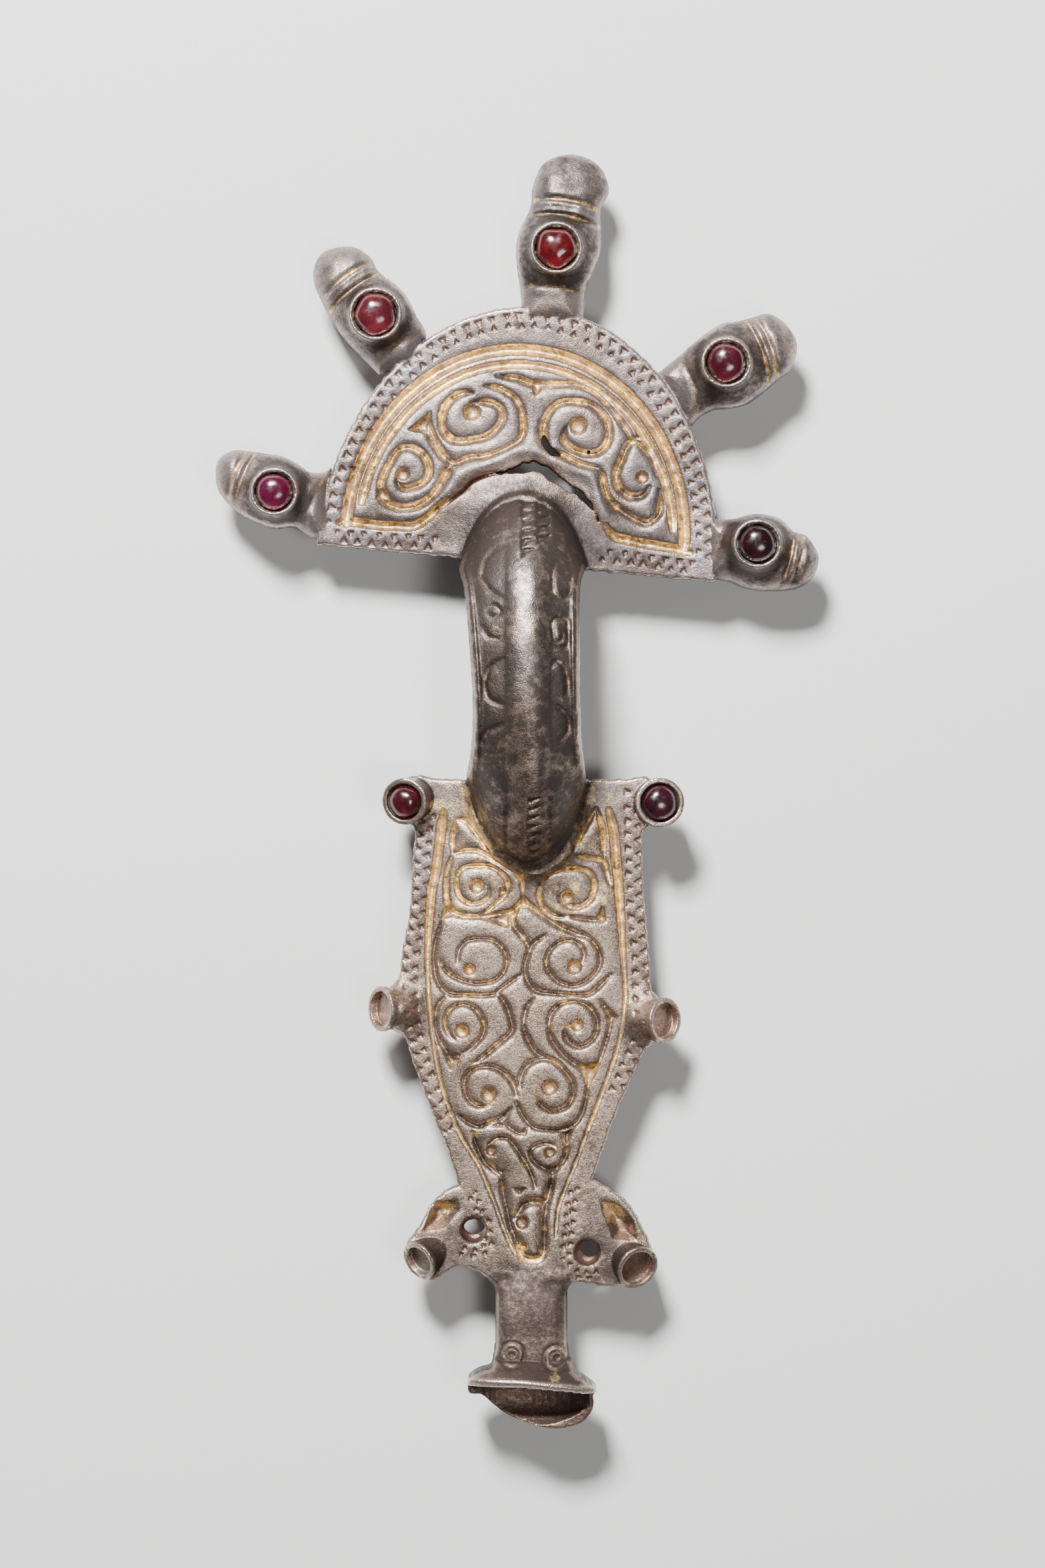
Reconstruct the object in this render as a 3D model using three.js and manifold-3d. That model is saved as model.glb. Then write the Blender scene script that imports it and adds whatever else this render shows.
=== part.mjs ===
// Silver-gilt bow brooch: a half-round head plate with five knobs, an arched bow and a
// lozenge foot plate with bird heads and an animal terminal, all cast in one, and seven
// garnet cabochons set in raised cups. Millimetres, +Z up, +Y towards the head.
// The brooch lies face up on the two spring lugs and the catch plate behind it.
import * as THREE from "three";
import { mergeVertices } from "three/addons/utils/BufferGeometryUtils.js";
import Module from "manifold-3d";

const wasm = await Module();
wasm.setup();

// ---- driving dimensions -------------------------------------------------------------
const BACK = 6; // height of the plates' back: the lugs and the catch stand on z = 0
const PLATE = 2.0; // thickness of the punched borders
const FIELD = 2.75; // top of the carved fields above the back
const FIELD_SLOPE = 0.55; // run of the slope from border up to field
const GROOVE_DEPTH = 0.85; // depth of a carved groove of width 1
const PIT_DEPTH = 1.1;
const HOLLOW_DEPTH = 0.7;
const GAP = 0.3; // clearance between a garnet and its cup
const COIL_STEP = 1.75; // length of one straight facet of a spiral groove
const LINK_STEP = 3.2; // and of a groove between the spirals

const HEAD = { at: [-0.2, 27.2], halfWidth: 24.1, height: 30.8, tilt: -5.4 };
const HEAD_FIELD = { at: [-0.36, 29.3], halfWidth: 21.1, height: 24.3, tilt: -4.9 };
const HEAD_FRAMES = [
  { at: [-0.36, 30.2], halfWidth: 20.3, height: 22.8, tilt: -4.9, width: 1.3 },
  { at: [-0.35, 30.1], halfWidth: 19.1, height: 21.0, tilt: -4.9, width: 0.9 },
];

const BOW = { middle: 13.2, halfSpan: 22.6, rise: 14.6, power: 2.3, round: 0.6 };
const BOW_GAP = { middle: 14.2, halfSpan: 13, rise: 11.2 }; // the open arch between the plates
const BOW_HOLLOW = { halfSpan: 19.2, rise: 11.4, from: -2.6, to: 5.2 }; // channel behind the bow
const BOW_RIB = { x: 1.75, width: 5.4, height: 1.0 };
const BOW_PANELS = [[-4.6, -1.3], [4.8, 6.6]]; // sunk panels beside the rib, in x
const BOW_PANEL_REACH = [2.0, 24.6]; // and in y
const PANEL_DEPTH = 0.8;

const LUG = { xs: [-8.5, 9.5], y: 45.5, thick: 2.2, top: 10, foot: 6, hole: 1.0 };
const CATCH = { x: 3.4, y: -28, length: 11, thick: 1.2, lip: 4.6, lipThick: 1.1 };

// Knobs of the head: where the garnet sits, the knob's heading in the plane of the plate,
// its reach behind the garnet (root) and beyond it (tip), its half-widths and the garnet.
const KNOBS = [
  { at: [-29.1, 35.6], heading: 160, root: 8.2, tip: 7.1, neck: 3.6, boss: 4.4, end: 3.4, stone: 2.0 },
  { at: [-17.0, 56.8], heading: 126.4, root: 8.4, tip: 10.2, neck: 3.6, boss: 4.5, end: 3.6, stone: 2.3 },
  { at: [4.6, 64.7], heading: 83.3, root: 9.4, tip: 11.6, neck: 3.9, boss: 5.0, end: 4.6, stone: 2.25 },
  { at: [24.9, 51.0], heading: 20, root: 8.6, tip: 9.2, neck: 3.8, boss: 4.9, end: 4.2, stone: 2.15 },
  { at: [28.6, 29.4], heading: -10, root: 8.0, tip: 7.5, neck: 3.7, boss: 4.3, end: 4.2, stone: 2.05 },
];
const MOUND_TOP = 5.0; // rim of a knob's cup above the back
// Side cups: the middle of the mouth, its height above the back, the outer radius, and the
// way it faces, leaning from upright by "lean" degrees towards the heading.
const CUPS = [
  { name: "corner_left", at: [-13.7, -1.5, 4.3], radius: 2.5, heading: 185, lean: 20, stone: 1.75 },
  { name: "corner_right", at: [17.0, -1.5, 4.4], radius: 2.7, heading: -5, lean: 8, stone: 1.95 },
  { name: "side_left", at: [-16.4, -26.2, 2.6], radius: 2.5, heading: 180, lean: 64, stone: 0 },
  { name: "side_right", at: [17.9, -27.6, 3.0], radius: 2.6, heading: -2, lean: 52, stone: 0 },
  { name: "beak_left", at: [-11.9, -56.4, 3.0], radius: 2.4, heading: 212, lean: 48, stone: 0 },
  { name: "beak_right", at: [14.4, -57.3, 3.0], radius: 2.7, heading: -38, lean: 48, stone: 0 },
];
const CUP_REACH = 4.6; // length of a side cup behind its mouth

const SHAFT = { x: 1.7, halfWidth: 4.5, from: -55, to: -71, height: 4.8 };
const MOUTH = { at: [1.75, -73.4, 5.3], halfWidth: 7.7, squash: 0.56, throat: 3.6, reach: 5.4, lean: 46 };
const EYES = [[-0.7, -67.4], [4.6, -67.8]];
const EYE_RADIUS = 1.5;

// Foot plate outline, from the left shoulder down, round the bird heads, and back up.
const FOOT_LEFT = [[-11.4, 1.3], [-12.4, -6], [-13.0, -14.5], [-14.1, -21.5], [-13.5, -28.8],
  [-11.8, -34.8], [-8.7, -42.7], [-7.1, -47.4]];
const FOOT_RIGHT = [[9.0, -46.6], [11.5, -39.5], [13.9, -34.0], [15.6, -29.5], [15.9, -22.6],
  [15.1, -12], [14.9, -5], [14.9, 1.3]];
const BIRD_LEFT = [[-8.6, -48.0], [-10.4, -49.7], [-12.0, -53.0], [-13.0, -55.4], [-10.9, -58.5],
  [-8.3, -57.1], [-5.6, -57.3], [-2.8, -59.0]];
const BIRD_RIGHT = [[6.2, -59.0], [8.6, -59.0], [11.4, -59.2], [15.2, -55.6], [14.9, -52.6],
  [13.4, -49.7], [11.2, -47.9]];
const BIRD_EYES = [[-5.2, -52.4, 1.3, 0.95], [8.6, -55.0, 1.2, 1.05]];

// Spiral grooves: the middle, the heading they start from, the way they turn (1 is
// anticlockwise), the radius at every eighth of a turn, and the groove's width.
const COILS = [
  [-13.8, 37.8, 225, 1, [0.96, 1.6, 2.08, 3.12, 3.36, 3.12, 2.05, 2.24, 3.36], 1.0],
  [-5.5, 45.3, 90, -1, [1.12, 1.6, 3.6, 3.52, 3.4, 4.24, 3.44, 2.69, 2.24], 1.0],
  [7.2, 43.6, 180, 1, [1.2, 2.32, 3.08, 4.08, 3.72, 3.08, 2.88, 3.56, 4.08, 4.56], 1.0],
  [14.6, 37.5, 315, -1, [1.68, 2.32, 2.72, 2.84, 2.96, 4.8], 0.9],
  [-4.9, -11.5, 0, -1, [1.4, 1.84, 2.16, 2.38, 2.48, 2.72, 2.4, 2.94, 3.72, 3.12, 3.44], 0.9],
  [5.9, -12.8, 180, 1, [1.0, 0.84, 1.0, 1.84, 3.04, 3.92, 3.24, 3.4, 3.36, 2.96, 2.32], 0.9],
  [-4.4, -20.6, 180, -1, [2.84, 3.04, 2.72, 3.0, 3.08, 2.84, 2.6, 3.2, 4.8], 0.6],
  [6.5, -20.6, 0, 1, [1.2, 1.92, 2.56, 2.84, 3.12, 2.92, 2.92, 2.94, 3.42, 3.48, 3.56], 0.6],
  [-6.7, -28.9, 225, -1, [1.36, 1.8, 2.72, 3.2, 2.96, 2.64, 2.24, 2.64], 0.7],
  [7.1, -28.2, 180, 1, [1.16, 1.92, 2.56, 2.56, 2.48, 2.56, 2.88, 3.24, 3.44], 0.7],
  [-3.5, -36.5, 270, -1, [1.12, 1.92, 2.72, 3.56, 3.36, 3.16, 3.32], 0.8],
  [3.8, -35.6, 225, 1, [2.08, 2.8, 3.12, 2.84, 2.64, 3.28, 3.68, 3.6], 0.8],
  [3.8, -43.4, 45, 1, [0.96, 1.0, 1.42, 2.28, 2.04, 2.04, 1.98, 2.08, 2.48], 0.7],
];
// Grooves that tie the spirals together: width, then the places they run through.
const LINKS = [
  [0.8, [[-9.0, -3.0], [-9.9, -8.4], [-10.8, -19.5], [-10.3, -28.8], [-7.1, -41.0], [-4.2, -45.7]]],
  [0.8, [[11.0, -3.0], [12.0, -11.6], [12.9, -24.8], [10.3, -35.8], [5.8, -47.6], [4.5, -53.8]]],
  [0.8, [[-7.8, -7.7], [-6.2, -7.3], [-4.4, -7.5], [-1.4, -9.3], [0.5, -11.2], [0.6, -13.2]]],
  [0.9, [[-8.3, -8.6], [-8.6, -11.0], [-8.4, -13.8], [-7.4, -14.9], [-2.6, -14.9], [0.6, -13.2]]],
  [0.7, [[0.6, -13.2], [4.9, -16.3], [8.6, -17.8]]],
  [0.7, [[3.3, -17.4], [1.3, -19.4], [0.9, -22.2], [2.2, -24.1], [8.9, -24.3], [11.2, -22.1]]],
  [0.8, [[6.8, -7.8], [10.0, -8.5], [11.0, -11.2]]],
  [0.6, [[-9.2, -15.8], [-10.1, -20.4], [-8.4, -24.4], [-3.1, -24.6], [-2.0, -23.8], [0.6, -22.0]]],
  [0.8, [[-2.5, -24.2], [-0.9, -27.3], [-0.7, -28.9], [-2.5, -30.6], [-5.4, -32.8]]],
  [0.7, [[1.9, -25.0], [0.6, -28.0], [2.1, -31.4], [4.2, -32.5]]],
  [0.8, [[3.7, -28.2], [4.0, -29.8], [5.5, -31.8], [7.6, -33.2], [9.5, -33.0]]],
  [0.6, [[8.3, -35.6], [7.3, -39.6], [5.4, -40.7], [3.0, -40.7], [1.7, -40.3], [-0.2, -37.4]]],
  [0.8, [[-0.7, -38.1], [-2.0, -39.3], [-4.8, -40.3], [-7.1, -39.0]]],
  [0.7, [[-3.5, -42.5], [-2.3, -41.6], [-0.7, -42.2], [0.9, -44.6], [2.1, -47.6]]],
  [0.8, [[-5.4, -41.0], [-4.2, -44.2], [-2.0, -45.7], [-1.2, -49.8], [0.2, -55.4], [2.1, -56.2],
    [3.2, -54.2], [3.3, -49.3]]],
  [0.9, [[-0.4, -51.4], [0.6, -49.8], [3.3, -49.3], [4.2, -46.3]]],
  [0.95, [[-16.6, 35.8], [-15.3, 34.1], [-11.9, 34.1], [-9.3, 36.6], [-8.0, 39.2]]],
  [0.7, [[-10.6, 45.0], [-9.8, 41.7], [-8.0, 39.2], [-3.4, 40.1], [0.5, 42.4], [0.2, 46.0],
    [-3.9, 48.4]]],
  [0.8, [[-2.5, 49.6], [2.1, 48.6], [6.8, 48.6], [10.1, 47.0], [13.7, 42.2], [16.7, 37.8]]],
  [0.8, [[17.0, 35.9], [17.1, 33.6], [15.0, 32.0], [11.6, 34.0], [10.1, 37.8], [9.3, 38.6]]],
  [1.0, [[-20.5, 32.7], [-11.5, 31.9], [-8.4, 34.2]]],
  [1.0, [[20.2, 28.5], [13.8, 29.6], [10.3, 31.6]]],
  [0.8, [[-7.7, -6.6], [-7.4, -3.9], [-3.6, -6.9]]],
  [0.9, [[7.0, -6.6], [9.4, -2.5], [10.3, -7.2]]],
  [1.1, [[-10.6, -50.6], [-8.6, -49.2], [-7.0, -49.8]]],
  [1.3, [[9.9, -49.8], [11.9, -50.6], [13.3, -53.4]]],
];
// Round pits at the hearts of the spirals: place and radius.
const PITS = [
  [-13.8, 37.8, 0.88], [-5.5, 45.3, 1.12], [7.2, 43.6, 1.16], [14.9, 37.4, 0.8],
  [-4.9, -11.5, 0.88], [5.9, -12.8, 0.8], [-5.8, -21.5, 0.72], [6.8, -21.2, 0.92],
  [-6.7, -28.9, 0.88], [7.1, -28.2, 0.72], [-3.5, -36.5, 0.96], [3.8, -35.6, 0.98],
  [-3.2, -43.2, 0.68], [3.8, -43.4, 0.72], [0.5, -51.8, 0.84],
];
// Three-cornered hollows between the spirals.
const HOLLOWS = [
  [[-10.4, 45.4], [-13.3, 43.1], [-10.6, 42.6]], [[-16.3, 37.0], [-17.1, 34.8], [-15.1, 34.6]],
  [[1.4, 49.3], [3.3, 48.5], [2.1, 47.0]], [[12.9, 43.6], [15.0, 41.1], [13.4, 41.4]],
  [[-8.5, -13.2], [-7.4, -15.0], [-9.3, -15.6]], [[-5.2, -15.3], [-0.9, -14.6], [-0.9, -16.6]],
  [[0.6, -12.0], [-0.2, -14.2], [1.6, -14.2]], [[10.2, -13.6], [10.6, -15.9], [9.3, -15.7]],
  [[10.0, -25.8], [12.1, -27.2], [11.0, -28.1]], [[7.6, -33.2], [10.0, -32.5], [8.4, -35.9]],
  [[-9.3, -30.7], [-6.9, -32.2], [-8.0, -33.7]], [[5.1, -41.0], [6.9, -40.3], [5.9, -42.7]],
  [[2.8, -45.4], [5.3, -45.2], [4.2, -46.6]], [[-0.6, -47.7], [1.1, -47.6], [0.2, -48.5]],
];
// Damage that goes right through the head plate.
const TEAR = [[-3.0, 37.8], [-0.6, 38.5], [0.6, 39.4], [1.8, 39.6], [3.2, 39.0], [5.8, 37.0],
  [8.2, 35.4], [9.9, 32.0], [9.4, 31.7], [6.9, 34.9], [5.0, 36.3], [3.0, 37.9], [0.6, 37.8], [-1.0, 37.9]];
const SLIT = [[3.2, 42.1], [3.9, 41.6], [4.4, 40.4], [4.9, 40.1], [4.0, 40.0], [3.1, 41.2]];

// ---- helpers ------------------------------------------------------------------------
const radians = (degrees) => (degrees * Math.PI) / 180;

/** Turns a closed three.js geometry into a solid that can be joined and cut. */
function solid(geometry, matrix) {
  const plain = geometry.clone();
  if (matrix) plain.applyMatrix4(matrix);
  plain.deleteAttribute("normal");
  plain.deleteAttribute("uv");
  const merged = mergeVertices(plain, 1e-4);
  const vertProperties = Float32Array.from(merged.attributes.position.array);
  const triVerts = Uint32Array.from(merged.index.array);
  return new wasm.Manifold(new wasm.Mesh({ numProp: 3, vertProperties, triVerts }));
}

function toGeometry(body) {
  const mesh = body.getMesh();
  const geometry = new THREE.BufferGeometry();
  geometry.setAttribute("position", new THREE.BufferAttribute(mesh.vertProperties, 3));
  geometry.setIndex(new THREE.BufferAttribute(mesh.triVerts, 1));
  geometry.computeVertexNormals();
  return geometry;
}

function outline(points) {
  return new THREE.Shape(points.map(([x, y]) => new THREE.Vector2(x, y)));
}

/** Upright block over an outline, from one height above the back to another. */
function prism(points, low, high) {
  const geometry = new THREE.ExtrudeGeometry(outline(points), { depth: high - low, bevelEnabled: false });
  return solid(geometry.translate(0, 0, BACK + low));
}

/** Like prism, but its top edge slopes inwards by "run" over the height "rise". */
function raisedPrism(points, low, high, run, rise) {
  const geometry = new THREE.ExtrudeGeometry(outline(points), {
    depth: high - low - 2 * rise,
    bevelSize: run,
    bevelOffset: -run,
    bevelThickness: rise,
    bevelSegments: 1,
  });
  return solid(geometry.translate(0, 0, BACK + low + rise));
}

function smoothCurve(points, perSpan) {
  const curve = new THREE.CatmullRomCurve3(points.map(([x, y]) => new THREE.Vector3(x, y, 0)));
  return curve.getPoints((points.length - 1) * perSpan).map((p) => [p.x, p.y]);
}

function halfEllipse({ at, halfWidth, height, tilt }, steps) {
  const turn = radians(tilt);
  return Array.from({ length: steps + 1 }, (_, i) => {
    const angle = (Math.PI * i) / steps;
    const x = halfWidth * Math.cos(angle);
    const y = height * Math.sin(angle);
    return [at[0] + x * Math.cos(turn) - y * Math.sin(turn), at[1] + x * Math.sin(turn) + y * Math.cos(turn)];
  });
}

function lathe(profile, segments) {
  return new THREE.LatheGeometry(profile.map(([r, y]) => new THREE.Vector2(r, y)), segments);
}

/** Stands a lathe's axis up from a point, leaning towards a heading in the plan. */
function leaning([x, y, z], heading, lean) {
  const axis = new THREE.Vector3(
    Math.sin(radians(lean)) * Math.cos(radians(heading)),
    Math.sin(radians(lean)) * Math.sin(radians(heading)),
    Math.cos(radians(lean)),
  );
  const turn = new THREE.Quaternion().setFromUnitVectors(new THREE.Vector3(0, 1, 0), axis);
  return new THREE.Matrix4().compose(new THREE.Vector3(x, y, z), turn, new THREE.Vector3(1, 1, 1));
}

/** Value at a whole or broken place along a list, smoothed through its entries. */
function smoothValue(list, place) {
  const i = Math.min(Math.floor(place), list.length - 2);
  const t = place - i;
  const [a, b, c, d] = [list[Math.max(i - 1, 0)], list[i], list[i + 1], list[Math.min(i + 2, list.length - 1)]];
  return 0.5 * (2 * b + (c - a) * t + (2 * a - 5 * b + 4 * c - d) * t * t + (3 * b - a - 3 * c + d) * t ** 3);
}

function coilPoints([x, y, start, turn, radii]) {
  const perEighth = 2;
  return Array.from({ length: (radii.length - 1) * perEighth + 1 }, (_, i) => {
    const place = i / perEighth;
    const radius = smoothValue(radii, place);
    const angle = radians(start + turn * 45 * place);
    return [x + radius * Math.cos(angle), y + radius * Math.sin(angle)];
  });
}

// ---- cutters ------------------------------------------------------------------------
/** V-shaped cutter along a path on the field, running out at both ends. */
function groove(points, width, facet) {
  const depth = GROOVE_DEPTH * width;
  const above = 0.3;
  const flat = new THREE.CatmullRomCurve3(points.map(([x, y]) => new THREE.Vector3(x, y, 0)));
  const steps = Math.max(3, Math.round(flat.getLength() / facet));
  const route = flat.getSpacedPoints(steps);
  route.forEach((p, i) => p.setZ(BACK + FIELD + (i === 0 || i === steps ? 0.45 * depth : 0)));
  const halfTop = (width / 2) * (1 + above / depth);
  const section = outline([[-above, -halfTop], [-above, halfTop], [depth, 0]]);
  const extrudePath = new THREE.CatmullRomCurve3(route);
  return solid(new THREE.ExtrudeGeometry(section, { steps, extrudePath, bevelEnabled: false }));
}

function pit([x, y, radius]) {
  const cone = new THREE.CylinderGeometry(radius, radius * 0.45, PIT_DEPTH + 0.2, 8);
  const middle = BACK + FIELD - PIT_DEPTH / 2 + 0.1;
  return solid(cone.rotateX(Math.PI / 2).translate(x, y, middle));
}

// ---- plates -------------------------------------------------------------------------
function headPlate() {
  const border = prism(halfEllipse(HEAD, 30), 0, PLATE);
  const field = raisedPrism(halfEllipse(HEAD_FIELD, 28), 0.2, FIELD, FIELD_SLOPE, FIELD - PLATE);
  return border.add(field);
}

function footPlate() {
  const left = smoothCurve(FOOT_LEFT, 2);
  const right = smoothCurve(FOOT_RIGHT, 2);
  const birdLeft = smoothCurve([FOOT_LEFT.at(-1), ...BIRD_LEFT], 2).slice(1);
  const birdRight = smoothCurve([...BIRD_RIGHT, FOOT_RIGHT[0]], 2).slice(0, -1);
  const plate = prism([...left, ...birdLeft, ...birdRight, ...right].reverse(), 0, PLATE);
  const inset = 2.3;
  const fieldLeft = FOOT_LEFT.slice(1, -1).map(([x, y]) => [x + inset, y]);
  const fieldRight = FOOT_RIGHT.slice(1, -1).map(([x, y]) => [x - inset, y]);
  const tail = [[-3.6, -49], [-1.4, -57.4], [4.6, -57.4], [6.2, -48]];
  const shape = smoothCurve([[-10.2, -1.4], ...fieldLeft, ...tail, ...fieldRight, [12.4, -1.4]], 2);
  return plate.add(raisedPrism(shape.reverse(), 0.2, FIELD, FIELD_SLOPE, FIELD - PLATE));
}

function birdEyes() {
  return BIRD_EYES.map(([x, y, rx, ry]) => {
    const hole = new THREE.CylinderGeometry(1, 0.8, PLATE + 4, 10).rotateX(Math.PI / 2);
    return solid(hole.scale(rx, ry, 1).translate(x, y, BACK + PLATE / 2));
  });
}

// ---- bow ----------------------------------------------------------------------------
function archHeight(y, middle, halfSpan, rise) {
  const away = Math.min(Math.abs((y - middle) / halfSpan), 1);
  return rise * (1 - away ** BOW.power) ** BOW.round;
}

/** Block whose side view is the ground up to an arch, between two x. */
function archBlock(middle, halfSpan, rise, x0, x1, lift = 0) {
  const steps = 18;
  const side = Array.from({ length: steps + 1 }, (_, i) => {
    const y = middle - halfSpan * Math.cos((Math.PI * i) / steps);
    return [y, archHeight(y, middle, halfSpan, rise) + lift];
  });
  side.push([middle + halfSpan, -1], [middle - halfSpan, -1]);
  const geometry = new THREE.ExtrudeGeometry(outline(side.reverse()), { depth: x1 - x0, bevelEnabled: false });
  // The side view's axes become y and z, and the extrusion runs along x.
  const upright = new THREE.Matrix4().makeBasis(
    new THREE.Vector3(0, 1, 0), new THREE.Vector3(0, 0, 1), new THREE.Vector3(1, 0, 0));
  return solid(geometry.applyMatrix4(upright).translate(x0, 0, BACK));
}

function bowPlan() {
  const left = [[0.6, 36.0], [-3.6, 33.4], [-6.6, 29.8], [-7.1, 26.8], [-5.8, 18.0], [-5.2, 10.0],
    [-5.6, 4.4], [-6.3, 0.6], [-5.0, -3.2], [-2.6, -6.8], [1.2, -9.4]];
  const right = [[3.6, -8.0], [6.2, -4.8], [8.1, 0.6], [7.6, 5.4], [7.4, 10.0], [7.3, 18.0], [7.4, 26.0],
    [6.9, 29.9], [5.0, 33.4], [3.0, 35.6]];
  return [...left, ...right].reverse();
}

function rib() {
  const { x, width, height } = BOW_RIB;
  const steps = 16;
  const reach = BOW.halfSpan * 0.97;
  const path = new THREE.CatmullRomCurve3(Array.from({ length: steps + 1 }, (_, i) => {
    const y = BOW.middle - reach * Math.cos((Math.PI * i) / steps);
    return new THREE.Vector3(x, y, BACK + archHeight(y, BOW.middle, BOW.halfSpan, BOW.rise) - 0.7);
  }));
  const section = outline(Array.from({ length: 7 }, (_, i) => {
    const angle = (Math.PI * i) / 6;
    return [(width / 2) * Math.cos(angle), (height + 0.7) * Math.sin(angle) ** 0.7];
  }));
  return solid(new THREE.ExtrudeGeometry(section, { steps, extrudePath: path, bevelEnabled: false }));
}

function bow() {
  const { middle, halfSpan, rise } = BOW;
  let body = archBlock(middle, halfSpan, rise, -10, 12).intersect(prism(bowPlan(), 0, 30));
  for (const [x0, x1] of BOW_PANELS) {
    const outer = archBlock(middle, halfSpan, rise, x0, x1, 2);
    const inner = archBlock(middle, halfSpan, rise, x0 - 1, x1 + 1, -PANEL_DEPTH);
    const [y0, y1] = BOW_PANEL_REACH;
    const window = prism([[x0, y0], [x1, y0], [x1, y1], [x0, y1]], 4, 30);
    body = body.subtract(outer.subtract(inner).intersect(window));
  }
  const gap = archBlock(BOW_GAP.middle, BOW_GAP.halfSpan, BOW_GAP.rise, -12, 14);
  return body.add(rib()).subtract(gap);
}

/** Channel that lightens the casting behind the bow, open at the plates' back. */
function bowChannel() {
  const { from, to, halfSpan, rise } = BOW_HOLLOW;
  return archBlock(BOW.middle, halfSpan, rise, from, to);
}

// ---- knobs and cups -----------------------------------------------------------------
/** Flattened knob along its heading: banded neck, boss, ridges and a thumb-like end. */
function knobBody({ at, heading, root, tip, neck, boss, end }) {
  const profile = [
    [0, -root], [neck + 0.2, -root], [neck - 0.1, -root + 2.2], [neck + 0.5, -root + 2.7],
    [neck, -root + 3.2], [boss, -1.5], [boss, 1.5], [end - 0.2, tip * 0.43], [end + 0.2, tip * 0.5],
    [end - 0.2, tip * 0.58], [end + 0.1, tip * 0.66], [end * 0.85, tip * 0.86], [end * 0.5, tip], [0, tip],
  ];
  const shape = lathe(profile, 10).scale(1, 1, 0.62);
  shape.rotateZ(radians(heading - 90)).translate(at[0], at[1], BACK + 0.7);
  return solid(shape);
}

function knobMound({ at, boss, stone }) {
  const rim = stone + 0.75;
  const profile = [
    [0, 0.1], [boss * 0.96, 0.1], [boss * 0.86, 2.4], [rim, MOUND_TOP], [0, MOUND_TOP],
  ];
  return solid(lathe(profile, 12).rotateX(Math.PI / 2).translate(at[0], at[1], BACK));
}

const CUP_FLOOR = 1.5; // how far a cup's floor lies below its rim

/** Place of a garnet or of an empty cup's mouth: the middle of the rim and its lean. */
function knobSeat({ at }) {
  return leaning([at[0], at[1], BACK + MOUND_TOP], 0, 0);
}

function cupSeat({ at: [x, y, h], heading, lean }) {
  return leaning([x, y, BACK + h], heading, lean);
}

function seatHole(seat, radius, depth) {
  const hole = new THREE.CylinderGeometry(radius, radius, depth + 1, 12).translate(0, (1 - depth) / 2, 0);
  return solid(hole, seat);
}

function cupBody(cup) {
  const r = cup.radius;
  const profile = [
    [0, -CUP_REACH], [r * 0.9, -CUP_REACH], [r * 0.95, -0.9], [r, -0.5], [r, 0], [0, 0],
  ];
  return solid(lathe(profile, 12), cupSeat(cup));
}

// ---- terminal -----------------------------------------------------------------------
function shaft() {
  const { x, halfWidth, from, to, height } = SHAFT;
  const profile = [
    [0, from], [halfWidth * 0.94, from], [halfWidth, from - 4], [halfWidth * 1.04, -64.5],
    [halfWidth * 0.98, -65.2], [halfWidth * 1.06, -66], [halfWidth * 1.12, -69.5], [halfWidth, to], [0, to],
  ];
  const shape = lathe(profile.reverse(), 14).scale(1, 1, height / halfWidth);
  return solid(shape.translate(x, 0, BACK));
}

function mouthShape(profile) {
  const { at, squash, lean } = MOUTH;
  const shape = lathe(profile, 16).scale(1, 1, squash);
  // The lathe's axis turns from +y to face away from the head, leaning up.
  shape.rotateX(radians(180 - lean));
  return solid(shape.translate(at[0], at[1], BACK + at[2]));
}

function mouthBell() {
  const { halfWidth: r, throat, reach } = MOUTH;
  return mouthShape([[0, -reach], [throat, -reach], [r * 0.62, -3.2], [r * 0.86, -1.4], [r, -0.3], [r * 0.97, 0], [0, 0]]);
}

function mouthCavity() {
  const { halfWidth: r } = MOUTH;
  return mouthShape([[0, -3.2], [r * 0.3, -3.0], [r * 0.66, -1.6], [r * 0.84, 0.1], [r * 0.84, 1], [0, 1]]);
}

function ringEye([x, y]) {
  const ring = lathe([[EYE_RADIUS * 0.55, -0.6], [EYE_RADIUS, -0.6], [EYE_RADIUS, 2], [EYE_RADIUS * 0.55, 2],
    [EYE_RADIUS * 0.55, -0.6]], 10);
  return solid(ring.rotateX(Math.PI / 2).translate(x, y, BACK + SHAFT.height + 0.1));
}

// ---- fittings behind ----------------------------------------------------------------
/** Block with a side view in y and z, "thick" along x. */
function sideBlock(points, x, thick) {
  const geometry = new THREE.ExtrudeGeometry(outline(points), { depth: thick, bevelEnabled: false });
  const upright = new THREE.Matrix4().makeBasis(
    new THREE.Vector3(0, 1, 0), new THREE.Vector3(0, 0, 1), new THREE.Vector3(1, 0, 0));
  return solid(geometry.applyMatrix4(upright).translate(x - thick / 2, 0, 0));
}

function springLug(x) {
  const { y, thick, top, foot, hole } = LUG;
  const body = sideBlock([[y - foot / 2, 0], [y + foot / 2, 0], [y + foot / 2 + 0.6, 2], [y + top / 2, BACK + 0.5],
    [y - top / 2, BACK + 0.5], [y - foot / 2 - 0.6, 2]], x, thick);
  const bore = new THREE.CylinderGeometry(hole, hole, thick + 2, 12).rotateZ(Math.PI / 2);
  return body.subtract(solid(bore.translate(x, y, BACK / 2 - 0.2)));
}

function catchPlate() {
  const { x, y, length, thick, lip, lipThick } = CATCH;
  const half = length / 2;
  const wall = sideBlock([[y - half, 0], [y + half, 0], [y + half, 1.6], [y + half + 1.2, BACK + 0.5],
    [y - half - 1.2, BACK + 0.5], [y - half, 1.6]], x, thick);
  const turned = new THREE.BoxGeometry(lip, length, lipThick);
  return wall.add(solid(turned.translate(x - lip / 2 + thick / 2, y, lipThick / 2)));
}

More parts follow.
